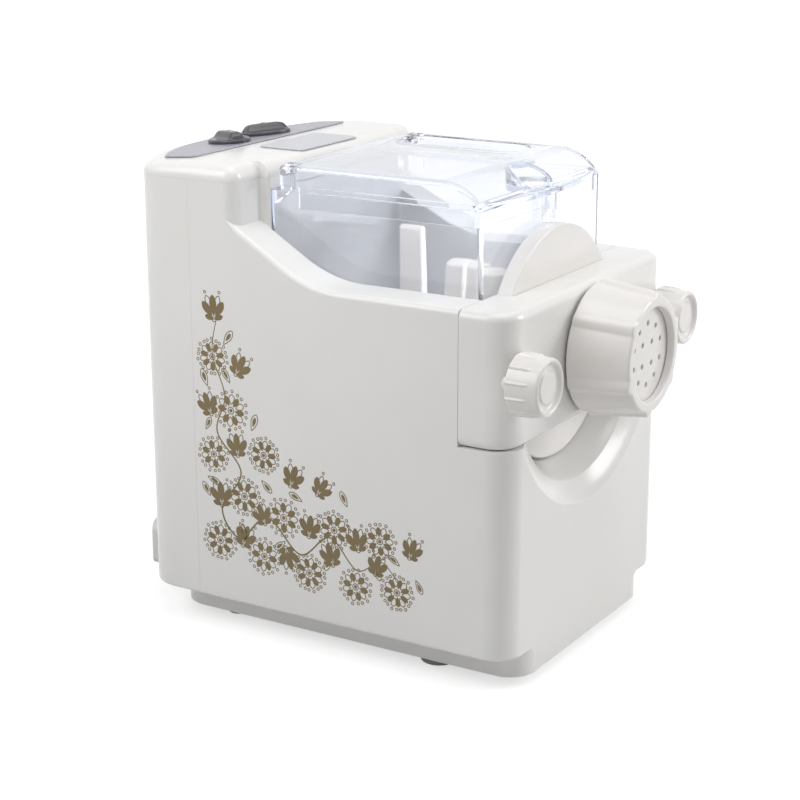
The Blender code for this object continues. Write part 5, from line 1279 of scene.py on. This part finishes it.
def blossom(center, size, petals, turned_by):
    """A folk blossom: solid petals, lace petals between them, beads outside and a ring inside."""
    for i in range(petals):
        a = turned_by + 2 * np.pi * i / petals
        between = a + np.pi / petals
        ink(petal(toward(center, a, size * 0.24), a, size * 0.56, size * 0.3))
        outlined(petal(toward(center, between, size * 0.3), between, size * 0.56, size * 0.36), LINE)
        for shift in (-0.36, 0, 0.36):
            reach = size * (1.0 - 0.5 * shift ** 2)
            ring(toward(center, between + shift * 2 * np.pi / petals, reach), 1.05, 0.5, 12)
    ring(center, size * 0.2, LINE, 24)
    ring(center, size * 0.1, size, 16)


def tulip(base, direction, size):
    """A side-on cup flower: three bold lobes in a lace fan, with beads over it and a ring below."""
    for lean, length in ((-0.62, 0.82), (0.0, 0.95), (0.62, 0.82)):
        ink(petal(toward(base, direction + lean, size * 0.14), direction + lean, size * length,
                  size * 0.36))
    for lean in (-0.31, 0.31):
        tip = direction + lean
        outlined(petal(toward(base, tip, size * 0.4), tip, size * 0.72, size * 0.3), LINE)
        ring(toward(base, tip, size * 1.26), 1.0, 0.5, 12)
    for lean in (-1.25, 1.25):
        ink(petal(base, direction + lean, size * 0.5, size * 0.24))
    ring(base, size * 0.13, LINE, 20)


def leaf(base, direction, size):
    """A leaf: an outlined blade with a solid heart in it."""
    outlined(petal(base, direction, size, size * 0.42), LINE)
    ink(petal(toward(base, direction, size * 0.26), direction, size * 0.54, size * 0.2))


# %% The vine
LINE = 0.55


def spline(knots, steps):
    """A Catmull-Rom curve: a cubic per span, with each knot's slope from its neighbours."""
    knots = np.asarray(knots, float)
    t = np.linspace(0, len(knots) - 1, steps)
    span = np.clip(t.astype(int), 0, len(knots) - 2)
    share = (t - span)[:, None]
    before, here, ahead, after = (knots[np.clip(span + k, 0, len(knots) - 1)] for k in (-1, 0, 1, 2))
    return 0.5 * (2 * here + (ahead - before) * share
                  + (2 * before - 5 * here + 4 * ahead - after) * share ** 2
                  + (3 * here - before - 3 * ahead + after) * share ** 3)


VINE = ((-46, 42), (-34, 54), (-18, 46), (0, 62), (20, 48), (42, 66), (62, 50), (74, 66), (60, 90),
        (76, 112), (70, 134), (78, 158), (74, 180))
ink(band(spline(VINE, 240), 1.0), depth=0.1)
# Each blossom: y, z, size, number of petals and turn. Tulips and leaves: y, z, direction and size.
BLOSSOMS = ((76, 46, 11.5, 7, 0.3), (45, 42, 11, 6, 0.1), (14, 38, 11, 7, 0.4), (-17, 36, 10.5, 6, 0.2),
            (-44, 38, 10.5, 7, 0.1), (31, 68, 11.5, 6, 0.5), (-3, 67, 11, 7, 0.2), (-33, 66, 10.5, 6, 0.4),
            (58, 76, 11.5, 7, 0.2), (79, 98, 10.5, 6, 0.3), (44, 103, 10.5, 7, 0.4), (66, 126, 11.5, 6, 0.1),
            (78, 156, 10.5, 7, 0.2))
for y, z, size, petals, turn in BLOSSOMS:
    blossom((y, z), size, petals, turn)
TULIPS = ((30, 50, 4.4, 12), (60, 46, 1.9, 12), (-2, 46, 1.3, 12), (-30, 46, 1.8, 11), (14, 60, 1.7, 12),
          (-19, 58, 1.4, 12), (44, 62, 1.2, 11), (74, 68, 1.5, 13), (26, 88, 1.9, 12), (62, 100, 1.5, 12),
          (80, 122, 1.2, 12), (62, 148, 2.1, 12), (76, 178, 1.5, 13), (-52, 60, 1.9, 11), (8, 86, 2.2, 11))
for y, z, direction, size in TULIPS:
    tulip((y, z), direction, size)
LEAVES = ((62, 60, 4.3, 11), (30, 54, 5.6, 10), (0, 52, 5.0, 11), (-30, 52, 4.4, 10),
          (46, 88, 3.9, 10), (84, 84, 3.5, 10), (82, 72, 1.0, 10), (18, 80, 0.4, 10),
          (-12, 82, 1.1, 10), (52, 116, 1.9, 11), (82, 138, 1.2, 11), (66, 142, 1.0, 10),
          (84, 112, 2.0, 9), (-46, 54, 0.6, 9), (70, 164, 2.2, 11), (-56, 48, 4.2, 9))
for y, z, direction, size in LEAVES:
    leaf((y, z), direction, size)
vine_print = solid("print", (np.concatenate(ink_points), ink_faces))
# Warm brown pad-print ink: satin, a little uneven where the pad lifted.
ink_brown = moulded("olive_brown_print_ink", "#7a6946", "#84734f", 0.4, ior=1.5)
dress(vine_print, "side_vine_print", "housing", [], ink_brown, weighted=False)
print("ink shapes:", len(ink_points), "faces:", len(vine_print.data.polygons))

# %% [markdown]
# ## Camera and studio
# The camera stands to the front left, a little above, with a long lens, as a catalogue picture is
# taken. Two soft lights stand at the sides of the camera's view and one above, so that walls that
# turn towards the camera fall into shade between them. A narrow light grazes the tower's side and
# another shines down into the tub. The backdrop is white to the camera and in reflections, and
# lights the object only a little.

# %% Camera
def look(azimuth, elevation, roll):
    """Camera matrix: turned about Z by the azimuth, lowered by the elevation, rolled on its axis."""
    turns = ((azimuth, "Z"), (90 - elevation, "X"), (roll, "Z"))
    matrix = Matrix.Identity(4)
    for angle, axis in turns:
        matrix = matrix @ Matrix.Rotation(math.radians(angle), 4, axis)
    return matrix


camera = bpy.data.objects.new("camera", bpy.data.cameras.new("camera"))
bpy.context.scene.collection.objects.link(camera)
camera.matrix_world = look(-58.623, 16.294, -0.109)
camera.location = (-0.96006, -0.57655, 0.45666)
camera.data.sensor_width, camera.data.lens = 36.0, 36.0 * 1968.43 / 800
bpy.context.scene.camera = camera
bpy.context.scene.view_settings.view_transform = "Standard"


# %% Lights and backdrop
def area_light(name, place, target, size, power, spread):
    """A square soft light at place, turned to its target, with a spread in degrees."""
    lamp = bpy.data.lights.new(name, "AREA")
    lamp.shape, lamp.size, lamp.energy, lamp.spread = "SQUARE", size, power, math.radians(spread)
    item = bpy.data.objects.new(name, lamp)
    item.location = place
    item.rotation_euler = (Vector(target) - Vector(place)).to_track_quat("-Z", "Y").to_euler()
    bpy.context.scene.collection.objects.link(item)


# Name, place, target, size, power in watts, spread.
LIGHTS = (("top_light", (-0.1, -0.2, 1.45), (0, 0, 0.2), 1.0, 7.0, 180),
          ("left_light", (-0.75, 0.45, 0.9), (0, 0, 0.15), 0.7, 4.7, 180),
          ("kicker_light", (-1.0, -0.12, 0.56), (-0.05, 0.08, 0.26), 0.3, 0.022, 18),
          ("tub_light", (-0.13, -0.05, 0.6), (0.02, -0.015, 0.23), 0.05, 0.21, 15),
          ("right_light", (0.95, -1.22, 0.75), (0, 0, 0.15), 0.7, 11.0, 180))
for light in LIGHTS:
    area_light(*light)


def seen_only(tree):
    """1 for camera, glossy and transmission rays, else 0."""
    path = add_node(tree, "ShaderNodeLightPath").outputs
    seen = path["Is Camera Ray"]
    for kind in ("Is Glossy Ray", "Is Transmission Ray"):
        seen = larger(tree, seen, path[kind])
    return seen


world = bpy.data.worlds.new("studio")
bpy.context.scene.world = world
world.use_nodes = True
tree = world.node_tree
backdrop = tree.nodes["Background"]
tree.links.new(ramp(tree, seen_only(tree), 0.27, 1.0, 0.0, 1.0), backdrop.inputs["Strength"])
backdrop.inputs["Color"].default_value = (1, 1, 1, 1)

floor = solid("studio_floor", strips(*[[(x, y, 0) for x in (-4000, 4000)] for y in (-4000, 4000)]))
floor_paper, tree, shader, place = finish_tree("studio_paper", base_color=linear("#cccccc"),
                                               roughness=0.9)
shader.inputs["Emission Color"].default_value = (1, 1, 1, 1)
distance = add_node(tree, "ShaderNodeVectorMath", {0: place}, operation="LENGTH").outputs["Value"]
glow = add_node(tree, "ShaderNodeMath",
                {0: seen_only(tree), 1: ramp(tree, distance, 0.62, 1.0, 0.3, 1.5)},
                operation="MULTIPLY")
tree.links.new(glow.outputs[0], shader.inputs["Emission Strength"])
tree.links.new(ramp(tree, noise(tree, place, 3), 0.85, 0.95), shader.inputs["Roughness"])
floor.data.materials.append(floor_paper)
